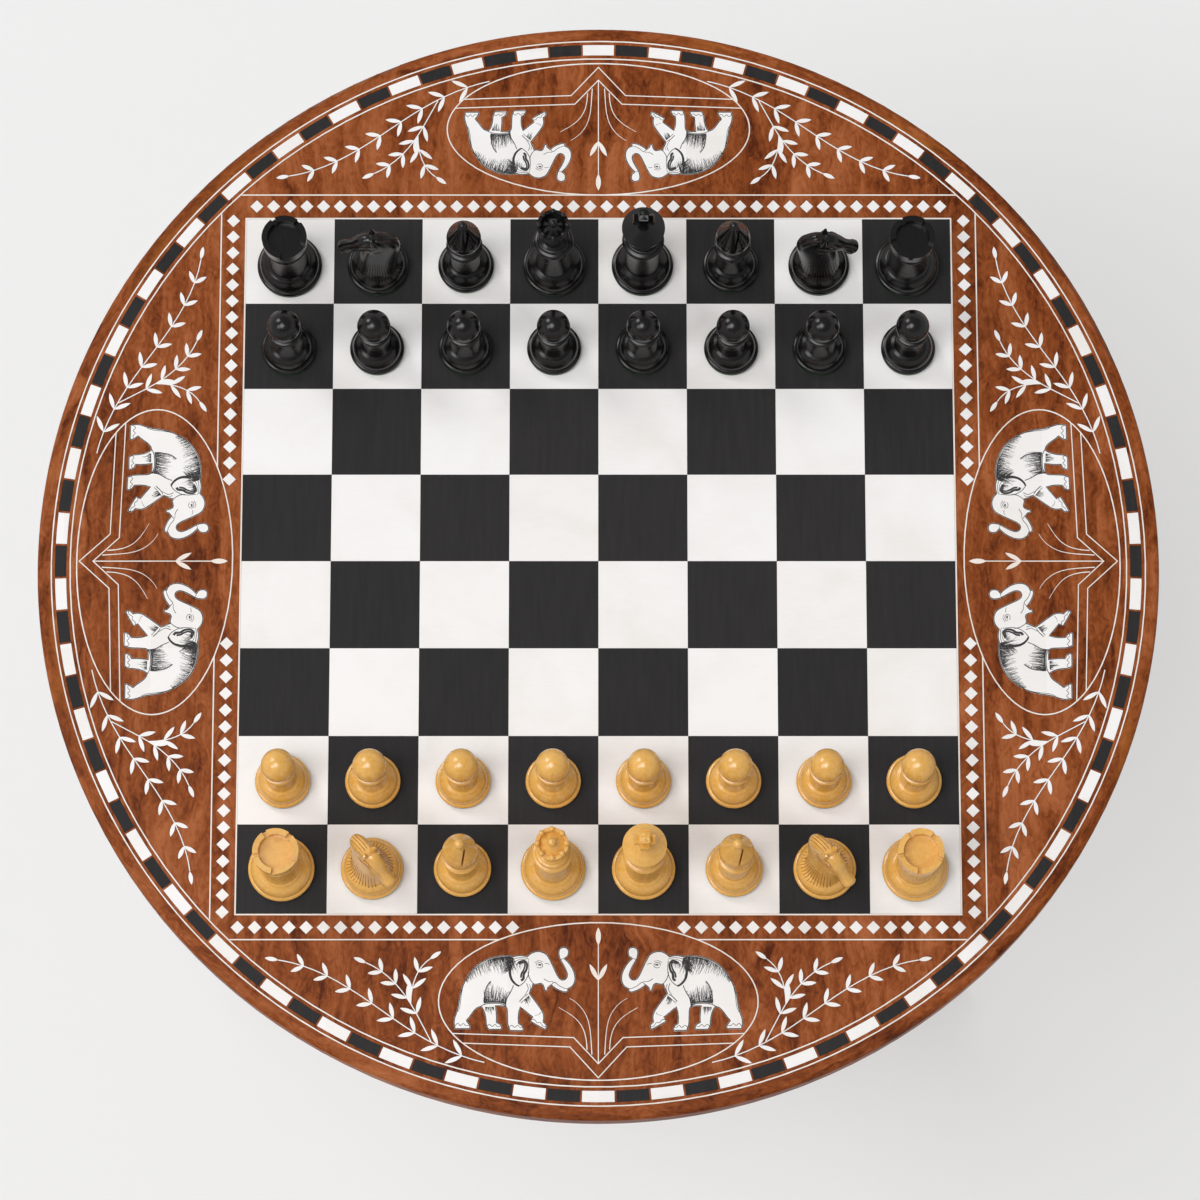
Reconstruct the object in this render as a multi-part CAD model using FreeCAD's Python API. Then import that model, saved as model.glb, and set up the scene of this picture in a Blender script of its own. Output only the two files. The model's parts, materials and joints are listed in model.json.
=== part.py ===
import FreeCAD, Part
import math
import os

from FreeCAD import Placement, Rotation, Vector

# Table sizes, mm. The floor is z = 0 and the middle of the board is over the origin.
TABLE_HEIGHT = 686.0
TOP_DIAMETER = 610.0
TOP_THICKNESS = 22.0
INLAY_THICKNESS = 2.0
GLUE_LINE = 0.1
SCREW_CLEARANCE = 0.1

# Board and inlay lines. The board's corners stand a gap inside the rim's inner ring.
SQUARES_ACROSS = 8
BOARD_CORNER_GAP = 12.3
BORDER_STRING_WIDTH = 0.8
STRING_WIDTH = 0.7
FINE_STRING_WIDTH = 0.55
EDGE_BAND_WIDTH = 7.2
EDGE_ROUND = 2.6
RIM_BAND_WIDTH = 10.25
RIM_BLOCK_WIDTH = 6.0
RIM_BLOCK_COUNT = 100
RIM_BLOCK_GAP = 1.1

# Diamond rows and the straight line outside them
DIAMOND_DIAGONAL = 7.2
DIAMOND_PITCH = 9.2
DIAMOND_OFFSET = 7.4
DIAMOND_GAP = 0.4
PANEL_LINE_OFFSET = 14.0

# The side panels are drawn for a field of this radius inside the rim, and follow the real one
PANEL_DRAWN_RADIUS = 286.65
# Ovals: half length along the side, half width across, distance of the middle from the board centre
OVAL_NEAR = (85.2, 42.4, 241.2)
OVAL_FAR = (83.8, 38.2, 246.2)
ELEPHANT_LENGTH = 64.8
ELEPHANT_REAR = 76.9
FAR_ELEPHANT_SCALE = 0.92
GROUND_LINE = 258.2
# Sole of the elephants above the middle of the ground line
SOLE_RISE = 0.9
GROUND_DIP = 2.5
NOTCH_HALF = 13.1
NOTCH_DEPTH = 14.0
SECOND_LINE_DROP = 5.0
SECOND_NOTCH_DEPTH = 16.5

SECOND_NOTCH_WIDER = 2.0

# Leaves of the sprays, the bud at the head of each stem and the leaf pair below it
LEAF_LENGTH = 10.4
LEAF_WIDTH = 2.3
LEAF_ANGLE = 42.0
BUD_INSET = 2.2
BUD_LENGTH = 9.6
BUD_WIDTH = 2.8
BUD_FOOT = 10.0
STEM_HEAD_INSET = 8.0
PAIR_DROP = 29.0
PAIR_LENGTH = 10.0
PAIR_WIDTH = 2.4
PAIR_ANGLE = 28.0

# Under the top
BEARER_LENGTH = 410.0
BEARER_WIDTH = 44.0
BEARER_THICKNESS = 20.0
BEARER_OFFSET = 62.0
BLOCK_SIZE = 172.0
BLOCK_THICKNESS = 24.0
BLOCK_CHAMFER = 7.0
TENON_RADIUS = 18.0
WEDGE_WIDTH = 3.0
WEDGE_DEPTH = 17.0
SCREW_SHANK = 2.1
SCREW_HEAD = 4.3
SCREW_BITE = 13.0
BEARER_SCREW_STATIONS = (-185.0, -120.0, 120.0, 185.0)

# Column and legs
HUB_RADIUS = 40.0
HUB_FLAT = 36.0
HUB_BOTTOM = 140.0
HUB_TOP = 238.0
LEG_WIDTH = 34.0
LEG_REACH = 268.0
LEG_ROOT_RISE = 50.0
TOE_LEVEL = 14.2
LEG_ANGLES = (90.0, 210.0, 330.0)
TONGUE_DEPTH = 14.0
TONGUE_NECK = 11.0
TONGUE_ROOT = 15.5
TONGUE_HEIGHT = 74.0
CAP_RADIUS = 38.0
CAP_THICKNESS = 14.0
GLIDE_RADIUS = 8.0
GLIDE_THICKNESS = 4.5
GLIDE_PIN_RADIUS = 1.5
GLIDE_PIN_LENGTH = 12.0

# Chess men: base radius and height
PAD_THICKNESS = 2.0
PAD_INSET = 0.5
KING_BASE = 17.0
KING_HEIGHT = 96.0
KING_CROSS = 15.0
QUEEN_BASE = 17.4
QUEEN_HEIGHT = 85.0
QUEEN_BEADS = 8
BISHOP_BASE = 15.4
BISHOP_HEIGHT = 80.0
KNIGHT_BASE = 16.8
KNIGHT_HEIGHT = 60.0
ROOK_BASE = 17.8
ROOK_HEIGHT = 57.0
ROOK_CRENELS = 5
PAWN_BASE = 14.9
PAWN_HEIGHT = 56.0
PAWN_HEAD = 9.0
# How far each rank stands from the middle of its squares, toward the near side
RANK_SHIFT = {"black_back": 3.4, "black_pawn": 2.2, "white_pawn": 1.2, "white_back": 0.4}
KNIGHT_FACING = {"black_b": 180.0, "black_g": 0.0, "white_b": -50.0, "white_g": -50.0}

# Sizes that follow from the ones above
TOP_RADIUS = TOP_DIAMETER / 2.0
INLAY_Z = TABLE_HEIGHT - INLAY_THICKNESS
CORE_BOTTOM = TABLE_HEIGHT - TOP_THICKNESS
BEARER_BOTTOM = CORE_BOTTOM - BEARER_THICKNESS
BLOCK_BOTTOM = BEARER_BOTTOM - BLOCK_THICKNESS
BAND_INNER = TOP_RADIUS - EDGE_BAND_WIDTH
OUTER_STRING_OUTER = BAND_INNER - GLUE_LINE
OUTER_STRING_INNER = OUTER_STRING_OUTER - STRING_WIDTH
INNER_STRING_OUTER = OUTER_STRING_INNER - RIM_BAND_WIDTH + STRING_WIDTH
INNER_STRING_INNER = INNER_STRING_OUTER - STRING_WIDTH
FIELD_RADIUS = INNER_STRING_INNER - GLUE_LINE
BOARD_HALF = (FIELD_RADIUS - BOARD_CORNER_GAP) / math.sqrt(2.0)
SQUARE_SIZE = 2.0 * BOARD_HALF / SQUARES_ACROSS
PANEL_SCALE = FIELD_RADIUS / PANEL_DRAWN_RADIUS
BORDER_INNER = BOARD_HALF + GLUE_LINE / 2.0
BORDER_OUTER = BORDER_INNER + BORDER_STRING_WIDTH
FIELD_HALF = BORDER_OUTER + GLUE_LINE
DIAMOND_LINE = BOARD_HALF + DIAMOND_OFFSET
PANEL_LINE = BOARD_HALF + PANEL_LINE_OFFSET
NEAR_OVAL = tuple(PANEL_SCALE * size for size in OVAL_NEAR)
FAR_OVAL = tuple(PANEL_SCALE * size for size in OVAL_FAR)
LEG_ROOT_LEVEL = HUB_BOTTOM + LEG_ROOT_RISE
Z_AXIS = Vector(0, 0, 1)
ORIGIN = Vector(0, 0, 0)


def flat_face(edges):
    """Flat face inside a loop of edges, facing up so that joined faces merge."""
    face = Part.Face(Part.Wire(edges))
    if face.normalAt(0, 0).z < 0:
        face.reverse()
    return face


def polygon_face(points):
    """Flat face from (x, y) corners."""
    corners = [Vector(x, y, 0) for x, y in points]
    return flat_face(Part.makePolygon(corners + corners[:1]).Edges)


def rectangle_face(x0, y0, x1, y1):
    """Flat rectangle between two corners."""
    return polygon_face([(x0, y0), (x1, y0), (x1, y1), (x0, y1)])


def disc_face(radius):
    """Flat round face about the origin."""
    return flat_face([Part.makeCircle(radius)])


def ellipse_face(half_x, half_y, centre_y):
    """Flat ellipse with its long half along x."""
    curve = Part.Ellipse(Vector(0, centre_y, 0), half_x, half_y)
    return flat_face([curve.toShape()])


def spline_edge(points):
    """Smooth edge through points, or a straight one between two."""
    if len(points) == 2:
        return Part.makeLine(points[0], points[1])
    curve = Part.BSplineCurve()
    curve.interpolate(points)
    return curve.toShape()


def raise_sheet(faces, bottom=INLAY_Z, thickness=INLAY_THICKNESS):
    """Flat faces made into solids standing on one level."""
    solids = []
    for face in faces:
        lifted = face.copy()
        lifted.translate(Vector(0, 0, bottom))
        solids.append(lifted.extrude(Vector(0, 0, thickness)))
    return solids


def turned(start, moves):
    """Solid turned about z. A move of two numbers is a line, of four an arc through a point to an end."""
    here = Vector(start[0], 0, start[1])
    first = here
    edges = []
    for move in moves:
        end = Vector(move[-2], 0, move[-1])
        if len(move) == 2:
            edges.append(Part.makeLine(here, end))
        else:
            edges.append(Part.Arc(here, Vector(move[0], 0, move[1]), end).toShape())
        here = end
    edges.append(Part.makeLine(here, first))
    profile = Part.Face(Part.Wire(edges))
    return profile.revolve(ORIGIN, Z_AXIS, 360)


def joined(faces):
    """Overlapping flat faces as one flat piece."""
    whole = faces[0].multiFuse(faces[1:])
    return Part.Shell(whole.Faces).removeSplitter().Faces


def spun(shape, degrees):
    """Copy of a shape turned about z."""
    copy = shape.copy()
    copy.rotate(ORIGIN, Z_AXIS, degrees)
    return copy


def flipped(shape):
    """Copy of a shape mirrored left to right."""
    return shape.mirror(ORIGIN, Vector(1, 0, 0))


def ribbon(points, width, tip=1.0):
    """Flat strip of a width along a smooth line; tip is the share of the width left at its end."""
    line = Part.BSplineCurve()
    line.interpolate([Vector(x, y, 0) for x, y in points])
    steps = 2 * len(points) + 1
    left = []
    right = []
    for step in range(steps):
        share = step / (steps - 1.0)
        at = line.FirstParameter + share * (line.LastParameter - line.FirstParameter)
        reach = (line.LastParameter - line.FirstParameter) * 0.001
        ahead = line.value(min(at + reach, line.LastParameter))
        along = ahead - line.value(max(at - reach, line.FirstParameter))
        along.normalize()
        half = 0.5 * width * (1.0 + share * (tip - 1.0))
        side = Vector(-along.y, along.x, 0) * half
        left.append(line.value(at) + side)
        right.append(line.value(at) - side)
    right.reverse()
    edges = [
        spline_edge(left),
        Part.makeLine(left[-1], right[0]),
        spline_edge(right),
        Part.makeLine(right[-1], left[0]),
    ]
    return flat_face(edges)


def leaf(x, y, degrees, length, width, grow):
    """Flat pointed leaf from a foot point along a direction."""
    along = Vector(math.cos(math.radians(degrees)), math.sin(math.radians(degrees)), 0)
    side = Vector(-along.y, along.x, 0) * (width / 2.0 + grow)
    foot = Vector(x, y, 0) - along * grow
    tip = Vector(x, y, 0) + along * (length + grow)
    belly = foot + (tip - foot) * 0.45
    edges = [Part.Arc(foot, belly + side, tip).toShape(), Part.Arc(tip, belly - side, foot).toShape()]
    return flat_face(edges)


def zigzag(points, width):
    """Flat strip of a width along straight lines with mitred corners."""
    left = []
    right = []
    for index, (x, y) in enumerate(points):
        before = points[max(index - 1, 0)]
        after = points[min(index + 1, len(points) - 1)]
        normals = []
        for start, end in ((before, (x, y)), ((x, y), after)):
            length = math.hypot(end[0] - start[0], end[1] - start[1])
            if length > 0:
                normals.append((-(end[1] - start[1]) / length, (end[0] - start[0]) / length))
        nx = sum(n[0] for n in normals)
        ny = sum(n[1] for n in normals)
        size = math.hypot(nx, ny)
        nx, ny = nx / size, ny / size
        reach = width / 2.0 / (nx * normals[0][0] + ny * normals[0][1])
        left.append((x + nx * reach, y + ny * reach))
        right.append((x - nx * reach, y - ny * reach))
    return polygon_face(left + right[::-1])


# The elephant's outline, drawn on a grid of 1353 units from the rear foot to the trunk, y down, as runs that
# meet at corners. The rear foot's heel is at 62 and the sole of the near front foot at 1055.
ELEPHANT_GRID = 1353.0
ELEPHANT_HEEL = 62.0
ELEPHANT_SOLE = 1055.0
ELEPHANT_RUNS = [
    [(1240, 256), (1222, 190), (1232, 132), (1290, 108), (1330, 130), (1340, 180), (1322, 222), (1292, 236)],
    [(1292, 236), (1334, 276), (1382, 346), (1410, 420), (1414, 476), (1398, 530), (1360, 570), (1331, 580)],
    [(1331, 580), (1336, 604)],
    [(1336, 604), (1306, 620), (1255, 610), (1195, 582), (1142, 540)],
    [(1142, 540), (1106, 572)],
    [(1106, 572), (1098, 602), (1066, 600)],
    [(1066, 600), (1056, 560), (1030, 526), (990, 532), (944, 526)],
    [(944, 526), (936, 566), (902, 626)],
    [(902, 626), (958, 700), (1014, 776), (1054, 842), (1058, 950)],
    [(1058, 950), (1096, 1000), (1078, 1042)],
    [(1078, 1042), (998, 1000), (910, 946)],
    [(910, 946), (934, 898)],
    [(934, 898), (868, 848), (802, 786)],
    [(802, 786), (784, 880), (786, 968)],
    [(786, 968), (822, 992), (838, 1028), (828, 1055)],
    [(828, 1055), (688, 1052)],
    [(688, 1052), (664, 1010), (652, 890), (640, 786)],
    [(640, 786), (580, 776), (526, 772)],
    [(526, 772), (540, 860), (540, 958)],
    [(540, 958), (580, 976), (597, 1006), (588, 1040)],
    [(588, 1040), (452, 1040)],
    [(452, 1040), (424, 1006), (414, 940), (398, 852), (362, 784)],
    [(362, 784), (326, 796), (262, 866), (204, 934)],
    [(204, 934), (232, 970), (246, 1004), (240, 1032)],
    [(240, 1032), (76, 1032)],
    [(76, 1032), (60, 980), (66, 902), (88, 840), (108, 756), (122, 655), (150, 556), (190, 468), (238, 392),
     (304, 318), (384, 264), (474, 226), (565, 206), (650, 202), (726, 212)],
    [(726, 212), (780, 200), (874, 214)],
    [(874, 214), (924, 172), (985, 154), (1042, 162), (1090, 188), (1128, 242), (1162, 312), (1198, 392),
     (1228, 446), (1262, 474), (1296, 468), (1316, 436), (1306, 380), (1276, 318), (1240, 256)],
]

# Leaf sprays beside each oval, on the right half: points from the side's middle line and the board centre.
# Each stem has a count of leaf pairs and the share of its length where the pairs start.
SPRAY_STEMS = [
    ([(60.5, 274.0), (79.0, 268.0), (98.0, 258.0), (122.0, 241.5), (146.0, 227.0), (171.0, 219.0)], 8, 0.10),
    ([(89.0, 262.8), (95.5, 250.5), (101.0, 241.0), (108.0, 232.0), (124.0, 220.5)], 4, 0.30),
    ([(100.0, 242.5), (99.0, 233.0), (95.0, 223.5), (90.0, 218.5)], 2, 0.30),
]
GRASS_BLADES = [
    [(3.4, 269.8), (4.2, 258.0), (6.4, 249.0), (10.2, 243.4), (15.4, 239.6)],
    [(6.0, 267.2), (6.9, 259.6), (8.6, 255.0), (11.8, 250.8), (16.2, 247.4), (21.0, 244.6)],
]


def elephant_face(scale, grow):
    """The elephant left of the near side's middle, facing right, scaled about the middle of its feet."""
    unit = PANEL_SCALE * scale * ELEPHANT_LENGTH / ELEPHANT_GRID
    rear = PANEL_SCALE * (ELEPHANT_REAR - 0.5 * ELEPHANT_LENGTH * (1.0 - scale))
    sole = -PANEL_SCALE * GROUND_LINE + SOLE_RISE
    loop = []
    for run in ELEPHANT_RUNS:
        for grid_x, grid_y in run[:-1]:
            x = -rear + (grid_x - ELEPHANT_HEEL) * unit
            y = sole + (ELEPHANT_SOLE - grid_y) * unit
            loop.append(Vector(x, y, 0))
    moved = []
    for index, point in enumerate(loop):
        along = loop[(index + 1) % len(loop)] - loop[index - 1]
        along.normalize()
        moved.append(point + Vector(-along.y, along.x, 0) * grow)
    edges = []
    first = 0
    for run in ELEPHANT_RUNS:
        last = first + len(run) - 1
        edges.append(spline_edge([moved[index % len(moved)] for index in range(first, last + 1)]))
        first = last
    return flat_face(edges)


def on_near_side(points):
    """Panel points, given along the side and out from the board centre, as (x, y) on the near side."""
    return [(PANEL_SCALE * x, -PANEL_SCALE * out) for x, out in points]


def spray_face(grow):
    """One leaf spray right of the near side's middle, cut from one sheet with no windows."""
    faces = []
    for points, pairs, start in SPRAY_STEMS:
        places = on_near_side(points)
        line = Part.BSplineCurve()
        line.interpolate([Vector(x, y, 0) for x, y in places])
        span = line.LastParameter - line.FirstParameter
        faces.append(ribbon(places, FINE_STRING_WIDTH + 2.0 * grow))
        for pair in range(pairs + 1):
            share = start + (1.0 - start) * pair / pairs
            at = line.FirstParameter + share * span
            foot = line.value(at)
            back = line.value(at - 0.01 * span)
            heading = math.degrees(math.atan2(foot.y - back.y, foot.x - back.x))
            length = PANEL_SCALE * LEAF_LENGTH * (1.0 - 0.3 * share)
            width = PANEL_SCALE * LEAF_WIDTH
            sides = (0.0,) if pair == pairs else (LEAF_ANGLE, -LEAF_ANGLE)
            for turn in sides:
                faces.append(leaf(foot.x, foot.y, heading + turn, length, width, grow))
    return [flat_face(face.OuterWire.Edges) for face in joined(faces)]


def ground_points(line, notch_half, notch_depth, end):
    """Corners of a ground line with its notch in the middle, for the near side."""
    half = [(end, line), (notch_half, line + GROUND_DIP)]
    left = [(-x, out) for x, out in half]
    return on_near_side(left + [(0.0, line + notch_depth + GROUND_DIP)] + half[::-1])


def panel_string_face(oval, grow):
    """Oval, straight line, ground lines, grass, stem and its leaves of one side, joined where they meet."""
    half_x, half_y, middle = oval
    half = STRING_WIDTH / 2.0 + grow
    fine = FINE_STRING_WIDTH + 2.0 * grow
    outer = ellipse_face(half_x + half, half_y + half, -middle)
    inner = ellipse_face(half_x - half, half_y - half, -middle)
    reach = FIELD_RADIUS
    line = rectangle_face(-reach, -PANEL_LINE - half, reach, -PANEL_LINE + half)
    line = line.cut(outer).common(disc_face(FIELD_RADIUS - GLUE_LINE + grow))
    line_end = half_x / PANEL_SCALE
    first = zigzag(ground_points(GROUND_LINE, NOTCH_HALF, NOTCH_DEPTH, line_end), fine)
    second_line = GROUND_LINE + SECOND_LINE_DROP
    second_half = NOTCH_HALF + SECOND_NOTCH_WIDER
    second = zigzag(ground_points(second_line, second_half, SECOND_NOTCH_DEPTH, line_end), fine)
    pieces = [first, second]
    for blade in GRASS_BLADES:
        points = on_near_side(blade)
        pieces.append(ribbon(points, fine, 0.4))
        pieces.append(ribbon([(-x, y) for x, y in points], fine, 0.4))
    stem_foot = PANEL_SCALE * (GROUND_LINE + GROUND_DIP + NOTCH_DEPTH)
    stem_end = middle - half_y + PANEL_SCALE * STEM_HEAD_INSET
    pieces.append(rectangle_face(-fine / 2.0, -stem_foot, fine / 2.0, -stem_end))
    pieces += stem_leaf_faces(oval, grow)
    ring = outer.cut(inner).Faces
    inside = [face for piece in pieces for face in piece.common(inner).Faces]
    return joined(ring + line.Faces + inside)


def stem_leaf_faces(oval, grow):
    """Bud on the stem of one side and the leaf pair below it."""
    tip = oval[2] - oval[1] + PANEL_SCALE * BUD_INSET
    bud_foot = tip + PANEL_SCALE * BUD_FOOT
    pair_foot = tip + PANEL_SCALE * PAIR_DROP
    faces = [leaf(0.0, -bud_foot, 90.0, PANEL_SCALE * BUD_LENGTH, PANEL_SCALE * BUD_WIDTH, grow)]
    for turn in (-PAIR_ANGLE, PAIR_ANGLE):
        length = PANEL_SCALE * PAIR_LENGTH
        faces.append(leaf(0.0, -pair_foot, 90.0 + turn, length, PANEL_SCALE * PAIR_WIDTH, grow))
    return faces


def oval_reach(oval, out):
    """Half length of an oval's outer edge at a distance from the board centre, or nothing above the oval."""
    half_x, half_y, middle = oval
    share = (middle - out) / (half_y + STRING_WIDTH / 2.0)
    if share >= 1.0:
        return 0.0
    return (half_x + STRING_WIDTH / 2.0) * math.sqrt(1.0 - share ** 2)


def diamond_faces(oval, grow):
    """Diamond row of the near side, with a space where the oval reaches into it."""
    half = DIAMOND_DIAGONAL / 2.0 + grow * math.sqrt(2.0)
    reach = oval_reach(oval, DIAMOND_LINE + DIAMOND_DIAGONAL / 2.0)
    start = reach + DIAMOND_GAP if reach > 0.0 else DIAMOND_PITCH / 2.0
    last = DIAMOND_LINE - DIAMOND_DIAGONAL
    faces = []
    for index in range(int((last - start) / DIAMOND_PITCH) + 1):
        for sign in (-1.0, 1.0):
            x = sign * (start + index * DIAMOND_PITCH)
            y = -DIAMOND_LINE
            faces.append(polygon_face([(x - half, y), (x, y - half), (x + half, y), (x, y + half)]))
    return faces


def side_region():
    """One quarter of the field between the board's line and the rim, mitred on the diagonals."""
    corner = FIELD_RADIUS / math.sqrt(2.0)
    trim = GLUE_LINE / 2.0
    inner_left = Vector(-FIELD_HALF + trim, -FIELD_HALF, 0)
    inner_right = Vector(FIELD_HALF - trim, -FIELD_HALF, 0)
    outer_right = Vector(corner - trim, -corner, 0)
    outer_left = Vector(-corner + trim, -corner, 0)
    edges = [
        Part.makeLine(inner_left, inner_right),
        Part.makeLine(inner_right, outer_right),
        Part.Arc(outer_right, Vector(0, -math.hypot(corner - trim, corner), 0), outer_left).toShape(),
        Part.makeLine(outer_left, inner_left),
    ]
    return flat_face(edges)


def side_inlay(oval, elephant_scale):
    """All show pieces of one side: ground, strings, leaves, elephants and diamonds, as flat faces."""
    elephant = elephant_face(elephant_scale, 0.0)
    elephants = [elephant, flipped(elephant).Faces[0]]
    wider = elephant_face(elephant_scale, GLUE_LINE)
    spray = spray_face(0.0)
    leaves = spray + [flipped(face).Faces[0] for face in spray]
    wide_spray = spray_face(GLUE_LINE)
    windows = [wider, flipped(wider).Faces[0]]
    windows += wide_spray + [flipped(face).Faces[0] for face in wide_spray]
    windows += diamond_faces(oval, GLUE_LINE)
    windows += panel_string_face(oval, GLUE_LINE)
    ground = side_region().cut(windows)
    return {
        "ground_veneer": ground.Faces,
        "panel_strings": panel_string_face(oval, 0.0),
        "leaf_inlays": leaves,
        "elephant_inlays": elephants,
        "diamond_inlays": diamond_faces(oval, 0.0),
    }


def build_field():
    """Show pieces of all four sides. The far side has the narrower oval, so its diamond row is unbroken."""
    near = side_inlay(NEAR_OVAL, 1.0)
    far = side_inlay(FAR_OVAL, FAR_ELEPHANT_SCALE)
    groups = {}
    for name in near:
        near_solids = raise_sheet(near[name])
        solids = []
        for degrees in (0.0, 90.0, -90.0):
            solids += [spun(solid, degrees) for solid in near_solids]
        solids += [spun(solid, 180.0) for solid in raise_sheet(far[name])]
        groups[name] = solids
    return groups


def build_squares():
    """The light and dark squares, each a glue line smaller than its pitch. The near left square is dark."""
    groups = {"white_squares": [], "black_squares": []}
    half = (SQUARE_SIZE - GLUE_LINE) / 2.0
    for column in range(SQUARES_ACROSS):
        for row in range(SQUARES_ACROSS):
            x = (column + 0.5) * SQUARE_SIZE - BOARD_HALF
            y = (row + 0.5) * SQUARE_SIZE - BOARD_HALF
            name = "black_squares" if (column + row) % 2 == 0 else "white_squares"
            groups[name] += raise_sheet([rectangle_face(x - half, y - half, x + half, y + half)])
    return groups


def build_rim():
    """The two white rings, the blocks between them and the brown ring that holds the blocks."""
    outer = disc_face(OUTER_STRING_OUTER).cut(disc_face(OUTER_STRING_INNER))
    inner = disc_face(INNER_STRING_OUTER).cut(disc_face(INNER_STRING_INNER))
    middle = (OUTER_STRING_INNER + INNER_STRING_OUTER) / 2.0
    pitch = 360.0 / RIM_BLOCK_COUNT
    blocks = {"white_rim_blocks": [], "black_rim_blocks": []}
    windows = []
    for index in range(RIM_BLOCK_COUNT):
        name = "white_rim_blocks" if index % 2 == 0 else "black_rim_blocks"
        blocks[name].append(spun(rim_block_face(middle, 0.0), 90.0 + index * pitch))
        windows.append(spun(rim_block_face(middle, GLUE_LINE), 90.0 + index * pitch))
    outside = Part.Wire(Part.makeCircle(OUTER_STRING_INNER - GLUE_LINE))
    inside = Part.Wire(Part.makeCircle(INNER_STRING_OUTER + GLUE_LINE))
    wires = [outside, inside] + [face.OuterWire for face in windows]
    ring = Part.makeFace(wires, "Part::FaceMakerBullseye")
    return {
        "rim_strings": raise_sheet([outer.Faces[0], inner.Faces[0]]),
        "white_rim_blocks": raise_sheet(blocks["white_rim_blocks"]),
        "black_rim_blocks": raise_sheet(blocks["black_rim_blocks"]),
        "rim_veneer": raise_sheet(ring.Faces),
    }


def rim_block_face(middle, grow):
    """One block of the rim on the x axis, with curved long sides."""
    low = middle - RIM_BLOCK_WIDTH / 2.0 - grow
    high = middle + RIM_BLOCK_WIDTH / 2.0 + grow
    half = math.pi / RIM_BLOCK_COUNT - (RIM_BLOCK_GAP / 2.0 - grow) / middle

    def at(radius, angle):
        return Vector(radius * math.cos(angle), radius * math.sin(angle), 0)

    edges = [
        Part.Arc(at(low, -half), at(low, 0.0), at(low, half)).toShape(),
        Part.makeLine(at(low, half), at(high, half)),
        Part.Arc(at(high, half), at(high, 0.0), at(high, -half)).toShape(),
        Part.makeLine(at(high, -half), at(low, -half)),
    ]
    return flat_face(edges)


def screw(length, grow=0.0):
    """Countersunk wood screw pointing up, its head flush with z = 0."""
    head = SCREW_HEAD + grow
    shank = SCREW_SHANK + grow
    cone = SCREW_HEAD - SCREW_SHANK
    tip = length + grow
    return turned((0.0, 0.0), [(head, 0.0), (shank, cone), (shank, tip - 3.0), (0.4, tip), (0.0, tip)])


def bearer_screw_places():
    """Where the screws go through the bearers into the core."""
    return [(x, y) for x in BEARER_SCREW_STATIONS for y in (-BEARER_OFFSET, BEARER_OFFSET)]


def block_screw_places():
    """Where the screws go through the block into the bearers."""
    return [(x, y) for x in (-BEARER_OFFSET, BEARER_OFFSET) for y in (-BEARER_OFFSET, BEARER_OFFSET)]


def placed_screws(places, bottom, length, grow=0.0):
    """Screws standing at a level."""
    solids = []
    for x, y in places:
        solid = screw(length, grow)
        solid.translate(Vector(x, y, bottom))
        solids.append(solid)
    return solids


def build_top_carcass():
    """Core board, lipping, bearers, block, wedge and their screws."""
    bearer_screw_length = BEARER_THICKNESS + SCREW_BITE
    block_screw_length = BLOCK_THICKNESS + SCREW_BITE
    bearer_screws = placed_screws(bearer_screw_places(), BEARER_BOTTOM, bearer_screw_length)
    bearer_holes = placed_screws(bearer_screw_places(), BEARER_BOTTOM, bearer_screw_length, SCREW_CLEARANCE)
    block_screws = placed_screws(block_screw_places(), BLOCK_BOTTOM, block_screw_length)
    block_holes = placed_screws(block_screw_places(), BLOCK_BOTTOM, block_screw_length, SCREW_CLEARANCE)

    core_radius = BAND_INNER - GLUE_LINE
    core = Part.makeCylinder(core_radius, TOP_THICKNESS - INLAY_THICKNESS, Vector(0, 0, CORE_BOTTOM))
    core = core.cut(bearer_holes)

    bearers = []
    half = BEARER_LENGTH / 2.0
    for side in (-1.0, 1.0):
        profile = Part.makePolygon([
            Vector(-half, 0, CORE_BOTTOM),
            Vector(half, 0, CORE_BOTTOM),
            Vector(half, 0, CORE_BOTTOM - 6.0),
            Vector(half - 26.0, 0, BEARER_BOTTOM),
            Vector(-half + 26.0, 0, BEARER_BOTTOM),
            Vector(-half, 0, CORE_BOTTOM - 6.0),
            Vector(-half, 0, CORE_BOTTOM),
        ])
        bearer = Part.Face(profile).extrude(Vector(0, BEARER_WIDTH, 0))
        bearer.translate(Vector(0, side * BEARER_OFFSET - BEARER_WIDTH / 2.0, 0))
        bearers.append(bearer.cut(bearer_holes + block_holes))

    corner = Vector(-BLOCK_SIZE / 2.0, -BLOCK_SIZE / 2.0, BLOCK_BOTTOM)
    block = Part.makeBox(BLOCK_SIZE, BLOCK_SIZE, BLOCK_THICKNESS, corner)
    low_edges = [edge for edge in block.Edges if edge.BoundBox.ZMax < BLOCK_BOTTOM + 0.01]
    block = block.makeChamfer(BLOCK_CHAMFER, low_edges)
    socket = Part.makeCylinder(TENON_RADIUS + GLUE_LINE, BLOCK_THICKNESS, Vector(0, 0, BLOCK_BOTTOM))
    block = block.cut([socket] + block_holes)
    return {
        "top_core": [core],
        "edge_band": build_edge_band(),
        "bearer_near": [bearers[0]],
        "bearer_far": [bearers[1]],
        "bearer_screws": bearer_screws,
        "mounting_block": [block],
        "block_screws": block_screws,
    }


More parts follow.
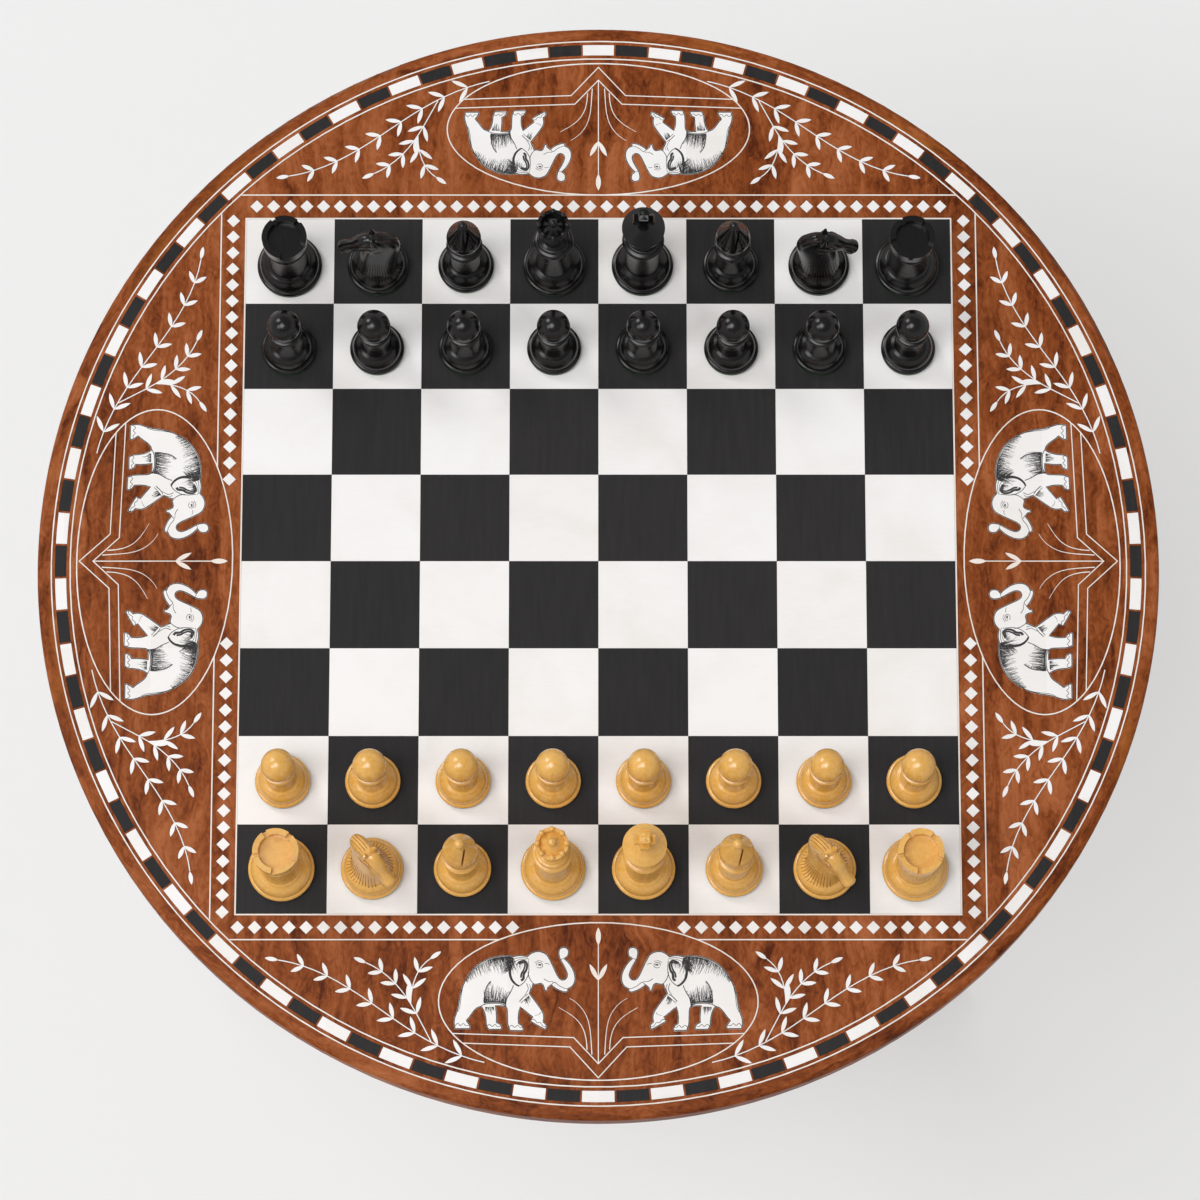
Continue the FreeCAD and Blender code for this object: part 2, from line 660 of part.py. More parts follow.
def build_edge_band():
    """Lipping in four curved lengths that butt on the diagonals."""
    top = TABLE_HEIGHT
    bottom = CORE_BOTTOM
    outer = TOP_RADIUS
    soft = EDGE_ROUND * (1.0 - math.sqrt(0.5))
    mid = top - TOP_THICKNESS * 0.62
    start = Vector(BAND_INNER, 0, bottom)
    edges = [
        Part.makeLine(start, Vector(BAND_INNER, 0, top)),
        Part.makeLine(Vector(BAND_INNER, 0, top), Vector(outer - EDGE_ROUND, 0, top)),
        Part.Arc(Vector(outer - EDGE_ROUND, 0, top), Vector(outer - soft, 0, top - soft),
                 Vector(outer, 0, top - EDGE_ROUND)).toShape(),
        Part.makeLine(Vector(outer, 0, top - EDGE_ROUND), Vector(outer, 0, mid)),
        Part.Arc(Vector(outer, 0, mid), Vector(outer - 1.4, 0, (mid + bottom) / 2.0 - 1.0),
                 Vector(outer - 4.6, 0, bottom)).toShape(),
        Part.makeLine(Vector(outer - 4.6, 0, bottom), start),
    ]
    profile = Part.Face(Part.Wire(edges))
    seam = math.degrees(GLUE_LINE / TOP_RADIUS)
    length = profile.revolve(ORIGIN, Z_AXIS, 90.0 - seam)
    return [spun(length, 45.0 + 90.0 * index) for index in range(4)]


def tongue(grow):
    """Dovetail tongue on the inner end of a leg along x, with its foot at the hub's bottom."""
    neck = TONGUE_NECK / 2.0 + grow
    root = TONGUE_ROOT / 2.0 + grow
    outer = HUB_FLAT + grow
    inner = HUB_FLAT - TONGUE_DEPTH - grow
    face = polygon_face([(inner, -root), (outer, -neck), (outer, neck), (inner, root)])
    return raise_sheet([face], HUB_BOTTOM, TONGUE_HEIGHT + grow)[0]


def oval_wire(centre, across, up, half_across, half_up, fullness=0.8):
    """Closed smooth section through twelve points; a smaller fullness makes it squarer."""
    points = []
    for index in range(12):
        angle = math.radians(index * 30.0 + 15.0)
        c = math.copysign(abs(math.cos(angle)) ** fullness, math.cos(angle))
        s = math.copysign(abs(math.sin(angle)) ** fullness, math.sin(angle))
        points.append(centre + across * (c * half_across) + up * (s * half_up))
    curve = Part.BSplineCurve()
    curve.interpolate(Points=points, PeriodicFlag=True)
    return Part.Wire(curve.toShape())


# Leg sections from the hub outward: distance from the hub's flat to the toe as a share, height as a
# share of the rise from the toe to the root, slope in degrees, half depth, half width as a share of
# the leg's width
LEG_SECTIONS = [
    (0.000, 1.000, 0.0, 35.0, 0.500),
    (0.150, 1.034, -3.0, 29.0, 0.500),
    (0.330, 0.960, -32.0, 24.5, 0.475),
    (0.480, 0.772, -54.0, 19.5, 0.430),
    (0.595, 0.522, -60.0, 15.5, 0.385),
    (0.705, 0.295, -51.0, 12.8, 0.360),
    (0.825, 0.118, -35.0, 11.8, 0.390),
    (0.935, 0.016, -14.0, 13.4, 0.450),
    (0.985, 0.002, -4.0, 9.6, 0.350),
    (1.000, 0.000, 0.0, 4.6, 0.180),
]


def leg_solid():
    """One curved leg along x with its tongue, a flat under the toe and the hole for the glide's pin."""
    wires = []
    for share, rise, slope, half_up, wide in LEG_SECTIONS:
        turn = math.radians(slope)
        height = TOE_LEVEL + rise * (LEG_ROOT_LEVEL - TOE_LEVEL)
        centre = Vector(HUB_FLAT + share * (LEG_REACH - HUB_FLAT), 0, height)
        up = Vector(-math.sin(turn), 0, math.cos(turn))
        wires.append(oval_wire(centre, Vector(0, 1, 0), up, wide * LEG_WIDTH, half_up))
    body = Part.makeLoft(wires, True, False)
    half = 2.0 * LEG_REACH
    floor = Part.makeBox(2.0 * half, 2.0 * half, half, Vector(-half, -half, GLIDE_THICKNESS - half))
    pin = Part.makeCylinder(
        GLIDE_PIN_RADIUS + SCREW_CLEARANCE, GLIDE_PIN_LENGTH + SCREW_CLEARANCE,
        Vector(glide_station(), 0, GLIDE_THICKNESS))
    return body.cut([floor, pin]).fuse(tongue(0.0)).removeSplitter()


def glide_station():
    """Distance of a glide from the table's axis."""
    return HUB_FLAT + 0.925 * (LEG_REACH - HUB_FLAT)


def build_base():
    """Column, wedge, legs, cap, its screw and the glides."""
    top = BLOCK_BOTTOM
    span = top - HUB_TOP
    shaft = HUB_TOP + span * 0.645
    column = turned((0.0, HUB_BOTTOM), [
        (HUB_RADIUS, HUB_BOTTOM),
        (HUB_RADIUS, HUB_TOP),
        (HUB_RADIUS + 3.6, HUB_TOP + 6.0, HUB_RADIUS, HUB_TOP + 12.0),
        (HUB_RADIUS - 6.0, HUB_TOP + 13.0),
        (26.5, HUB_TOP + 24.0, 24.0, HUB_TOP + 42.0),
        (36.5, HUB_TOP + span * 0.215, 33.0, HUB_TOP + span * 0.335),
        (20.5, HUB_TOP + span * 0.475, 17.0, shaft - 14.0),
        (25.0, shaft - 12.0),
        (28.8, shaft - 7.0, 25.0, shaft - 2.0),
        (18.0, shaft),
        (21.5, shaft + span * 0.115, 19.5, top - 45.0),
        (24.5, top - 43.0),
        (27.6, top - 39.0, 24.5, top - 35.0),
        (20.5, top - 33.0),
        (25.0, top - 15.0, 40.0, top - 8.0),
        (40.0, top),
        (TENON_RADIUS, top),
        (TENON_RADIUS, top + BLOCK_THICKNESS),
        (0.0, top + BLOCK_THICKNESS),
    ])
    flats = []
    housings = []
    for angle in LEG_ANGLES:
        chip = Part.makeBox(20, 200, HUB_TOP - HUB_BOTTOM, Vector(HUB_FLAT, -100, HUB_BOTTOM))
        flats.append(spun(chip, angle))
        housings.append(spun(tongue(GLUE_LINE), angle))
    wedge_top = top + BLOCK_THICKNESS
    cap_screw = screw(CAP_THICKNESS + 28.0)
    cap_screw.translate(Vector(0, 0, HUB_BOTTOM - CAP_THICKNESS))
    cap_hole = screw(CAP_THICKNESS + 28.0, SCREW_CLEARANCE)
    cap_hole.translate(Vector(0, 0, HUB_BOTTOM - CAP_THICKNESS))
    column = column.cut(flats + housings + [wedge_solid(wedge_top, GLUE_LINE), cap_hole])
    low = HUB_BOTTOM - CAP_THICKNESS
    cap = turned((0.0, low), [
        (CAP_RADIUS - 12.0, low),
        (CAP_RADIUS - 5.6, low + 2.6, CAP_RADIUS - 3.0, low + 8.0),
        (CAP_RADIUS, low + 8.5),
        (CAP_RADIUS, HUB_BOTTOM),
        (0.0, HUB_BOTTOM),
    ]).cut(cap_hole)
    leg = leg_solid()
    glide = Part.makeCylinder(GLIDE_RADIUS, GLIDE_THICKNESS, Vector(glide_station(), 0, 0))
    pin = Part.makeCylinder(GLIDE_PIN_RADIUS, GLIDE_PIN_LENGTH, Vector(glide_station(), 0, GLIDE_THICKNESS))
    glide = glide.fuse(pin)
    names = ("leg_rear", "leg_left", "leg_right")
    groups = {name: [spun(leg, angle)] for name, angle in zip(names, LEG_ANGLES)}
    groups["column"] = [column]
    groups["tenon_wedge"] = [wedge_solid(wedge_top, 0.0)]
    groups["base_cap"] = [cap]
    groups["cap_screw"] = [cap_screw]
    groups["foot_glides"] = [spun(glide, angle) for angle in LEG_ANGLES]
    return groups


def wedge_solid(top, grow):
    """Wedge in the saw cut of the column's tenon."""
    half = WEDGE_WIDTH / 2.0 + grow
    toe = WEDGE_WIDTH / 6.0 + grow
    low = top - WEDGE_DEPTH - grow
    corners = [Vector(-half, 0, top), Vector(half, 0, top), Vector(toe, 0, low), Vector(-toe, 0, low)]
    profile = Part.makePolygon(corners + corners[:1])
    length = 2.0 * TENON_RADIUS - 2.0
    solid = Part.Face(profile).extrude(Vector(0, length + 2.0 * grow, 0))
    solid.translate(Vector(0, -length / 2.0 - grow, 0))
    return solid


def foot_moves(base):
    """Moulded foot that all men share, from the pad up to the first ring."""
    ring = base * 0.66
    return [
        (base - 0.9, PAD_THICKNESS),
        (base, 3.5, base - 0.8, 5.0),
        (base - 1.5, 5.3),
        (base - 2.6, 9.5, ring, 12.4),
        (ring, 13.2),
    ]


def ball_moves(radius, neck, top):
    """Neck and ball on the axis: a point on the ball's underside, then the arc over to its top."""
    centre = top - radius
    return [(neck, centre - math.sqrt(radius ** 2 - neck ** 2)), (radius, centre, 0.0, top)]


def man(base, moves):
    """A turned man: wood body and the baize disc under it."""
    body = turned((0.0, PAD_THICKNESS), foot_moves(base) + moves)
    pad = Part.makeCylinder(base - PAD_INSET, PAD_THICKNESS)
    return [body, pad]


def king():
    """King with a domed head and a four-armed cross."""
    top = KING_HEIGHT - KING_CROSS
    waist = top * 0.60
    body, pad = man(KING_BASE, [
        (KING_BASE * 0.58, 14.0),
        (7.6, 27.0, 6.2, waist),
        (10.4, waist + 0.8),
        (11.4, waist + 2.4, 10.4, waist + 4.0),
        (8.0, waist + 4.8),
        (8.0, waist + 6.0),
        (9.6, waist + 7.2, 8.0, waist + 8.4),
        (6.8, waist + 9.2),
        (8.0, top - 16.0, 11.6, top - 8.4),
        (11.6, top - 7.2),
        (3.4, top - 1.6),
        (3.2, top - 0.6, 2.2, top + 0.4),
        (0.0, top + 0.4),
    ])
    arm = 5.2
    thick = 4.6
    end = 2.9
    waist_half = 1.3
    mid = top + 0.54 * KING_CROSS
    peak = top + KING_CROSS
    outline = [
        (-end * 0.9, top - 0.4), (end * 0.9, top - 0.4), (waist_half, mid - waist_half),
        (arm, mid - end), (arm + 0.7, mid), (arm, mid + end), (waist_half, mid + waist_half),
        (end, peak - 0.8), (0.0, peak), (-end, peak - 0.8),
        (-waist_half, mid + waist_half), (-arm, mid + end), (-arm - 0.7, mid), (-arm, mid - end),
        (-waist_half, mid - waist_half),
    ]
    corners = [Vector(x, -thick / 2.0, z) for x, z in outline]
    cross = Part.Face(Part.makePolygon(corners + corners[:1])).extrude(Vector(0, thick, 0))
    return [body.fuse([cross, spun(cross, 90.0)]), pad]


def queen():
    """Queen with a beaded coronet and a ball."""
    crown = QUEEN_HEIGHT - 6.8
    waist = QUEEN_HEIGHT * 0.56
    body, pad = man(QUEEN_BASE, [
        (QUEEN_BASE * 0.57, 14.0),
        (7.2, 26.0, 5.8, waist),
        (9.8, waist + 0.8),
        (10.8, waist + 2.3, 9.8, waist + 3.8),
        (7.4, waist + 4.6),
        (9.0, waist + 6.0, 7.4, waist + 7.4),
        (5.8, waist + 8.2),
        (6.6, crown - 11.0, 8.8, crown),
        (6.9, crown),
        (6.2, crown - 1.6),
        (4.2, crown - 0.4, 1.8, crown + 1.4),
    ] + ball_moves(2.4, 1.5, QUEEN_HEIGHT))
    beads = []
    for index in range(QUEEN_BEADS):
        angle = 2.0 * math.pi * index / QUEEN_BEADS
        at = Vector(7.6 * math.cos(angle), 7.6 * math.sin(angle), crown + 1.0)
        beads.append(Part.makeSphere(1.55, at))
    return [body.multiFuse(beads), pad]


def bishop():
    """Bishop with a cut mitre and a ball."""
    waist = BISHOP_HEIGHT * 0.49
    brim = waist + 7.0
    point = BISHOP_HEIGHT - 5.4
    mitre = point - brim
    body, pad = man(BISHOP_BASE, [
        (BISHOP_BASE * 0.56, 14.0),
        (6.6, 22.0, 5.6, waist),
        (9.0, waist + 0.7),
        (9.9, waist + 2.0, 9.0, waist + 3.3),
        (6.8, waist + 4.1),
        (8.0, waist + 5.2, 6.8, waist + 6.3),
        (6.2, brim),
        (9.3, brim + 0.26 * mitre, 7.5, brim + 0.55 * mitre),
        (5.0, brim + 0.76 * mitre, 2.2, point),
    ] + ball_moves(2.7, 1.6, BISHOP_HEIGHT))
    kerf = 1.1
    slot = Part.makeBox(kerf, 12, mitre, Vector(-kerf / 2.0, -13.6, 0))
    slot.Placement = Placement(Vector(0.9, 0, brim + 0.42 * mitre), Rotation(Vector(0, 1, 0), 8))
    return [body.cut(slot), pad]


def rook():
    """Rook with a battlement round a sunk floor."""
    top = ROOK_HEIGHT
    body, pad = man(ROOK_BASE, [
        (ROOK_BASE * 0.60, 14.0),
        (8.9, 23.0, 8.2, top - 17.0),
        (10.6, top - 15.8),
        (11.4, top - 14.4, 10.6, top - 13.0),
        (9.0, top - 12.2),
        (9.4, top - 9.6, 12.0, top - 8.4),
        (12.2, top),
        (9.2, top),
        (9.0, top - 5.0),
        (0.0, top - 5.0),
    ])
    notches = []
    for index in range(ROOK_CRENELS):
        notch = Part.makeBox(8, 2.3, 6, Vector(7.0, -1.15, top - 3.4))
        notches.append(spun(notch, 49.0 + 360.0 * index / ROOK_CRENELS))
    return [body.cut(notches), pad]


def pawn():
    """Pawn with a ball head."""
    head = PAWN_HEAD
    centre = PAWN_HEIGHT - head
    neck = head * 0.58
    neck_level = centre - math.sqrt(head ** 2 - neck ** 2)
    body, pad = man(PAWN_BASE, [
        (PAWN_BASE * 0.55, 14.0),
        (5.8, 20.0, 4.9, neck_level - 4.0),
        (8.2, neck_level - 3.3),
        (9.1, neck_level - 2.2, 8.2, neck_level - 1.1),
        (neck, neck_level - 0.4),
    ] + ball_moves(head, neck, PAWN_HEIGHT))
    return [body, pad]


# Knight sections: station along the head or neck, height, half length, half width
KNIGHT_NECK = [
    (0.0, 12.6, 11.0, 10.8),
    (-0.4, 18.0, 10.8, 8.8),
    (-1.6, 28.0, 10.4, 6.8),
    (-3.4, 38.0, 9.9, 5.5),
    (-4.2, 46.0, 9.2, 4.7),
    (-3.4, 51.6, 7.6, 4.2),
    (-2.2, 55.2, 5.0, 3.4),
    (-1.4, 57.0, 2.4, 1.8),
]
KNIGHT_FACE = [
    (-6.0, 48.6, 5.2, 3.4),
    (-1.0, 49.6, 6.8, 4.6),
    (4.5, 47.8, 6.6, 4.7),
    (9.5, 44.2, 5.2, 3.8),
    (13.5, 41.4, 4.3, 3.3),
    (16.8, 39.3, 4.2, 3.8),
    (18.4, 38.2, 3.0, 2.9),
]


def knight():
    """Knight facing x: turned foot, neck, head and two ears."""
    foot, pad = man(KNIGHT_BASE, [(10.8, 13.4), (0.0, 13.4)])
    rise = KNIGHT_HEIGHT / 60.0
    neck = Part.makeLoft([
        oval_wire(Vector(x, 0, z * rise), Vector(1, 0, 0), Vector(0, 1, 0), long, wide, 0.9)
        for x, z, long, wide in KNIGHT_NECK], True, False)
    lean = math.radians(-34.0)
    up = Vector(-math.sin(lean), 0, math.cos(lean))
    face = Part.makeLoft([
        oval_wire(Vector(x, 0, z * rise), Vector(0, 1, 0), up, wide, long, 0.85)
        for x, z, long, wide in KNIGHT_FACE], True, False)
    ears = []
    for side in (-1.0, 1.0):
        root = Vector(0.8, side * 2.6, KNIGHT_HEIGHT - 7.0)
        ears.append(Part.makeCone(2.3, 0.6, 7.0, root, Vector(0.10, side * 0.12, 1.0)))
    return [foot.multiFuse([neck, face] + ears), pad]


def build_men():
    """All thirty-two men on their squares, a node each."""
    makers = (king, queen, bishop, knight, rook, pawn)
    kinds = {make.__name__: make() for make in makers}
    files = "abcdefgh"
    order = ("rook", "knight", "bishop", "queen", "king", "bishop", "knight", "rook")
    ranks = {"white": (0, 1), "black": (7, 6)}
    groups = {}
    for colour, (back, front) in ranks.items():
        for column, kind in enumerate(order):
            single = kind in ("king", "queen")
            name = colour + "_" + kind + ("" if single else "_" + files[column])
            facing = KNIGHT_FACING[colour + "_" + files[column]] if kind == "knight" else 0.0
            groups[name] = stand(kinds[kind], column, back, RANK_SHIFT[colour + "_back"], facing)
            name = colour + "_pawn_" + files[column]
            groups[name] = stand(kinds["pawn"], column, front, RANK_SHIFT[colour + "_pawn"], 0.0)
    return groups


def stand(solids, column, row, shift, facing):
    """A man's solids on a square."""
    x = (column + 0.5) * SQUARE_SIZE - BOARD_HALF
    y = (row + 0.5) * SQUARE_SIZE - BOARD_HALF - shift
    placed = []
    for solid in solids:
        copy = spun(solid, facing)
        copy.translate(Vector(x, y, TABLE_HEIGHT))
        placed.append(copy)
    return placed


def build_border():
    """White line round the board."""
    outer = rectangle_face(-BORDER_OUTER, -BORDER_OUTER, BORDER_OUTER, BORDER_OUTER)
    inner = rectangle_face(-BORDER_INNER, -BORDER_INNER, BORDER_INNER, BORDER_INNER)
    return {"board_border_string": raise_sheet(outer.cut(inner).Faces)}


def main():
    """Build every node and write each to its own file."""
    os.makedirs("parts", exist_ok=True)
    nodes = {}
    nodes.update(build_top_carcass())
    nodes.update(build_squares())
    nodes.update(build_border())
    nodes.update(build_field())
    nodes.update(build_rim())
    nodes.update(build_base())
    nodes.update(build_men())
    for name, solids in nodes.items():
        pieces = []
        for shape in solids:
            pieces += shape.Solids
        shape = pieces[0] if len(pieces) == 1 else Part.makeCompound(pieces)
        shape.exportStep("parts/" + name + ".step")


main()
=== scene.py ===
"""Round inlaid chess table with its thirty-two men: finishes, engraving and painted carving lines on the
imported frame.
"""

import json
import logging
import math
import random
from abc import ABC, abstractmethod
from collections.abc import Callable, Mapping, Sequence
from dataclasses import dataclass, field, replace
from enum import Enum
from typing import Any, Union

import bpy
from mathutils import Matrix, Vector
from mathutils.bvhtree import BVHTree

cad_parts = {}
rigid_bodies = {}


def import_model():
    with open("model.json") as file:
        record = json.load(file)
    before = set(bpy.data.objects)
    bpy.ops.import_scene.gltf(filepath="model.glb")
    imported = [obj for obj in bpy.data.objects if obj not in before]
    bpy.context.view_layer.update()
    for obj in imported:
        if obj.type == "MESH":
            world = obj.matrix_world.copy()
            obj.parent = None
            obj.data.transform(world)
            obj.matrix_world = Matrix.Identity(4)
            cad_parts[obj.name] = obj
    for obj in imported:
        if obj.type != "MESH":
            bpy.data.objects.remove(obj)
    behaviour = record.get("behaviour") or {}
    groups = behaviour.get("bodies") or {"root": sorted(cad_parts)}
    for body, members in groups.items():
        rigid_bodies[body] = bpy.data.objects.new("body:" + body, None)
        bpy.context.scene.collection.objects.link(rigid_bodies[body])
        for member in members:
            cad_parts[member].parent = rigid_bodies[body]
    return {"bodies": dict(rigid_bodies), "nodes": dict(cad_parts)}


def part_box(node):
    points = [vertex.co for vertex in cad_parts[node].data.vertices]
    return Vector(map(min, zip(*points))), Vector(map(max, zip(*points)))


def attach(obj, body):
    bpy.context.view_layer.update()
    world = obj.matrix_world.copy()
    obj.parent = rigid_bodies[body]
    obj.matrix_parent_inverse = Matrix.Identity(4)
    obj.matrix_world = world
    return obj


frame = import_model()

MM = 0.001
UP = Vector((0.0, 0.0, 1.0))
BOARD_LOW, BOARD_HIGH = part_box("white_squares")
LEVEL = BOARD_HIGH.z
SQUARES_ACROSS = 8
SQUARE = (BOARD_HIGH.x - BOARD_LOW.x) / SQUARES_ACROSS
BAIZE_LEVEL = LEVEL + 2.0 * MM
TABLE_BODY = "table"
LOG = logging.getLogger("chess_table")

Colour = tuple[float, float, float]
GridPoint = tuple[float, float]
Operand = Union["Signal", float]
Operator = Callable[["Signal", Operand], "Signal"]
VectorPair = tuple[Vector, Vector]


def srgb(*levels: int) -> Colour:
    """Turn a screen colour of 0 to 255 into the linear one that shaders use."""
    def linear(share: float) -> float:
        """One channel of the conversion."""
        return share / 12.92 if share <= 0.04045 else ((share + 0.055) / 1.055) ** 2.4

    return tuple(linear(level / 255.0) for level in levels)


def operators(operation: str) -> tuple[Operator, Operator]:
    """Make an operator of the signals and its reflected form.

    Args:
        operation: What the Math node does.

    Returns:
        The two methods; each adds one Math node.
    """
    def plain(self: "Signal", other: Operand) -> "Signal":
        """The signal stands on the left."""
        return self.sheet.maths(operation, self, other)

    def reflected(self: "Signal", other: Operand) -> "Signal":
        """The signal stands on the right."""
        return self.sheet.maths(operation, other, self)

    return plain, reflected


class Signal:
    """A shader socket that takes part in Python expressions; each operator adds one Math node."""

    def __init__(self, sheet: "ShaderSheet", socket: bpy.types.NodeSocket) -> None:
        """Keep the sheet that the socket is drawn on."""
        self.sheet = sheet
        self.socket = socket

    __add__, __radd__ = operators("ADD")
    __sub__, __rsub__ = operators("SUBTRACT")
    __mul__, __rmul__ = operators("MULTIPLY")
    __truediv__, __rtruediv__ = operators("DIVIDE")
    __pow__, __rpow__ = operators("POWER")

    def floor(self) -> "Signal":
        """Whole number at or below this value."""
        return self.sheet.maths("FLOOR", self)

    def smooth(self, low: float, high: float) -> "Signal":
        """Soft step of this value, from 0 at the low end to 1 at the high end."""
        settings = {"interpolation_type": "SMOOTHSTEP"}
        sockets = {0: self, 1: low, 2: high, 3: 0.0, 4: 1.0}
        return self.sheet.out(self.sheet.add("ShaderNodeMapRange", settings, sockets))


class ShaderSheet:
    """Node tree of one material, filled through a few plain methods."""

    def __init__(self, name: str) -> None:
        """Start an empty material."""
        self.material = bpy.data.materials.new(name)
        self.material.use_nodes = True
        self.tree = self.material.node_tree
        self.tree.nodes.clear()

    def add(self, kind: str, settings: Mapping[str, Any], sockets: Mapping[Any, Any]) -> bpy.types.Node:
        """Add a node.

        Args:
            kind: Blender's type name of the node.
            settings: Properties of the node, set first; stops are a ramp's (place, colour) pairs.
            sockets: Values or signals by socket name or number.

        Returns:
            The new node.
        """
        node = self.tree.nodes.new(kind)
        for key, value in settings.items():
            if key == "stops":
                self._set_stops(node, value)
            else:
                setattr(node, key, value)
        for key, value in sockets.items():
            target = node.inputs[key]
            if isinstance(value, Signal):
                self.tree.links.new(value.socket, target)
            elif isinstance(value, tuple) and target.type == "RGBA":
                target.default_value = (*value, 1.0)
            else:
                target.default_value = value
        return node

    @staticmethod
    def _set_stops(node: bpy.types.Node, stops: Sequence[tuple[float, Colour]]) -> None:
        """Give a ramp its stops in order."""
        elements = node.color_ramp.elements
        while len(elements) < len(stops):
            elements.new(1.0)
        for element, (place, colour) in zip(elements, stops):
            element.position = place
            element.color = (*colour, 1.0)

    def out(self, node: bpy.types.Node, key: Union[int, str] = 0) -> Signal:
        """One output of a node as a signal."""
        return Signal(self, node.outputs[key])

    def maths(self, operation: str, *values: Operand) -> Signal:
        """Math node on one, two or three values."""
        return self.out(self.add("ShaderNodeMath", {"operation": operation}, dict(enumerate(values))))

    def place(self) -> Signal:
        """Place on the piece, in metres of the shared frame, which stays with the piece when it moves."""
        return self.out(self.add("ShaderNodeTexCoord", {}, {}), "Object")

    def axes(self, vector: Signal) -> tuple[Signal, Signal, Signal]:
        """The x, y and z of a vector."""
        node = self.add("ShaderNodeSeparateXYZ", {}, {0: vector})
        return self.out(node, 0), self.out(node, 1), self.out(node, 2)

    def vector(self, x: Operand, y: Operand, z: Operand) -> Signal:
        """A vector from its x, y and z."""
        return self.out(self.add("ShaderNodeCombineXYZ", {}, {0: x, 1: y, 2: z}))

    def noise(self, vector: Signal, scale: float, detail: float, bend: float = 0.0) -> Signal:
        """Cloudy noise around 0.5: its clouds in one unit, its finer layers and its twist."""
        sockets = {"Vector": vector, "Scale": scale, "Detail": detail, "Distortion": bend}
        return self.out(self.add("ShaderNodeTexNoise", {}, sockets))

    def squares(self, x: Signal, y: Signal, seed: float) -> Signal:
        """A random value from 0 to 1 for each square of the board."""
        grid = self.vector((x / SQUARE).floor(), (y / SQUARE).floor(), seed)
        return self.out(self.add("ShaderNodeTexWhiteNoise", {}, {"Vector": grid}))

    def ramp(self, factor: Signal, places: Sequence[float], *colours: Colour) -> Signal:
        """Colour from a value through a ramp with a colour at each place."""
        return self.out(self.add("ShaderNodeValToRGB", {"stops": list(zip(places, colours))}, {0: factor}))

    def mix(self, share: Signal, first: Any, second: Any) -> Signal:
        """Two colours mixed, with a share of the second."""
        sockets = {0: share, 6: first, 7: second}
        return self.out(self.add("ShaderNodeMix", {"data_type": "RGBA"}, sockets), 2)

    def bump(self, height: Signal, strength: float, depth_mm: float) -> Signal:
        """Surface relief from a height value."""
        sockets = {"Height": height, "Strength": strength, "Distance": depth_mm * MM}
        return self.out(self.add("ShaderNodeBump", {}, sockets))

    def close(self, kind: str, sockets: Mapping[Any, Any]) -> bpy.types.Material:
        """Close the sheet with a shader and give the finished material."""
        shader = self.out(self.add(kind, {}, sockets))
        self.add("ShaderNodeOutputMaterial", {}, {"Surface": shader})
        return self.material

    def surface(self, sockets: Mapping[str, Any]) -> bpy.types.Material:
        """Close the sheet with a principled surface."""
        return self.close("ShaderNodeBsdfPrincipled", sockets)


class Grain(Enum):
    """Which way the wood of a piece runs."""

    PANEL = "veneer laid across the top"
    RING = "lengths bent round the rim"
    UPRIGHT = "turned about the column's axis"
    SPLAYED = "cut along a leg"
    BOARD = "plain boards along x"


class Side(Enum):
    """Sides of the table, with their turns from the near side in degrees."""

    NEAR = 0.0
    RIGHT = 90.0
    FAR = 180.0
    LEFT = -90.0


@dataclass(frozen=True)
class Layer:
    """Noise stretched along the grain: clouds in a metre, weight in the tone and span of its marks."""

    across: float
    along: float
    detail: float
    bend: float = 0.0
    share: float = 0.0
    marks: tuple[float, float] = (0.0, 1.0)

    def read(self, sheet: ShaderSheet, across: Signal, along: Signal, depth: Signal) -> Signal:
        """The layer's value at a place in the wood."""
        place = sheet.vector(across * self.across, along * self.along, depth * self.across)
        return sheet.noise(place, 1.0, self.detail, self.bend)


CLOUD = Layer(16.0, 10.0, 3.0, 1.4, share=0.6, marks=(0.36, 0.6))
STREAK = Layer(90.0, 15.0, 5.0, 1.2, share=0.75)
MOTTLE = Layer(210.0, 120.0, 5.0, 2.0, share=0.55, marks=(0.56, 0.72))
FIBRE = Layer(1000.0, 70.0, 2.0, share=0.25)
FLECK = Layer(460.0, 110.0, 3.0, 1.6, marks=(0.58, 0.76))
PORE = Layer(2100.0, 260.0, 1.0, marks=(0.66, 0.74))
SAP = Layer(60.0, 9.0, 3.0, 0.8, marks=(0.54, 0.68))
EBONY_STREAK = Layer(420.0, 36.0, 4.0, 0.3)


@dataclass(frozen=True)
class Finish(ABC):
    """Name of a finish and the record's slot that it fills."""

    name: str
    slot: str

    @abstractmethod
    def material(self) -> bpy.types.Material:
        """Make the material."""


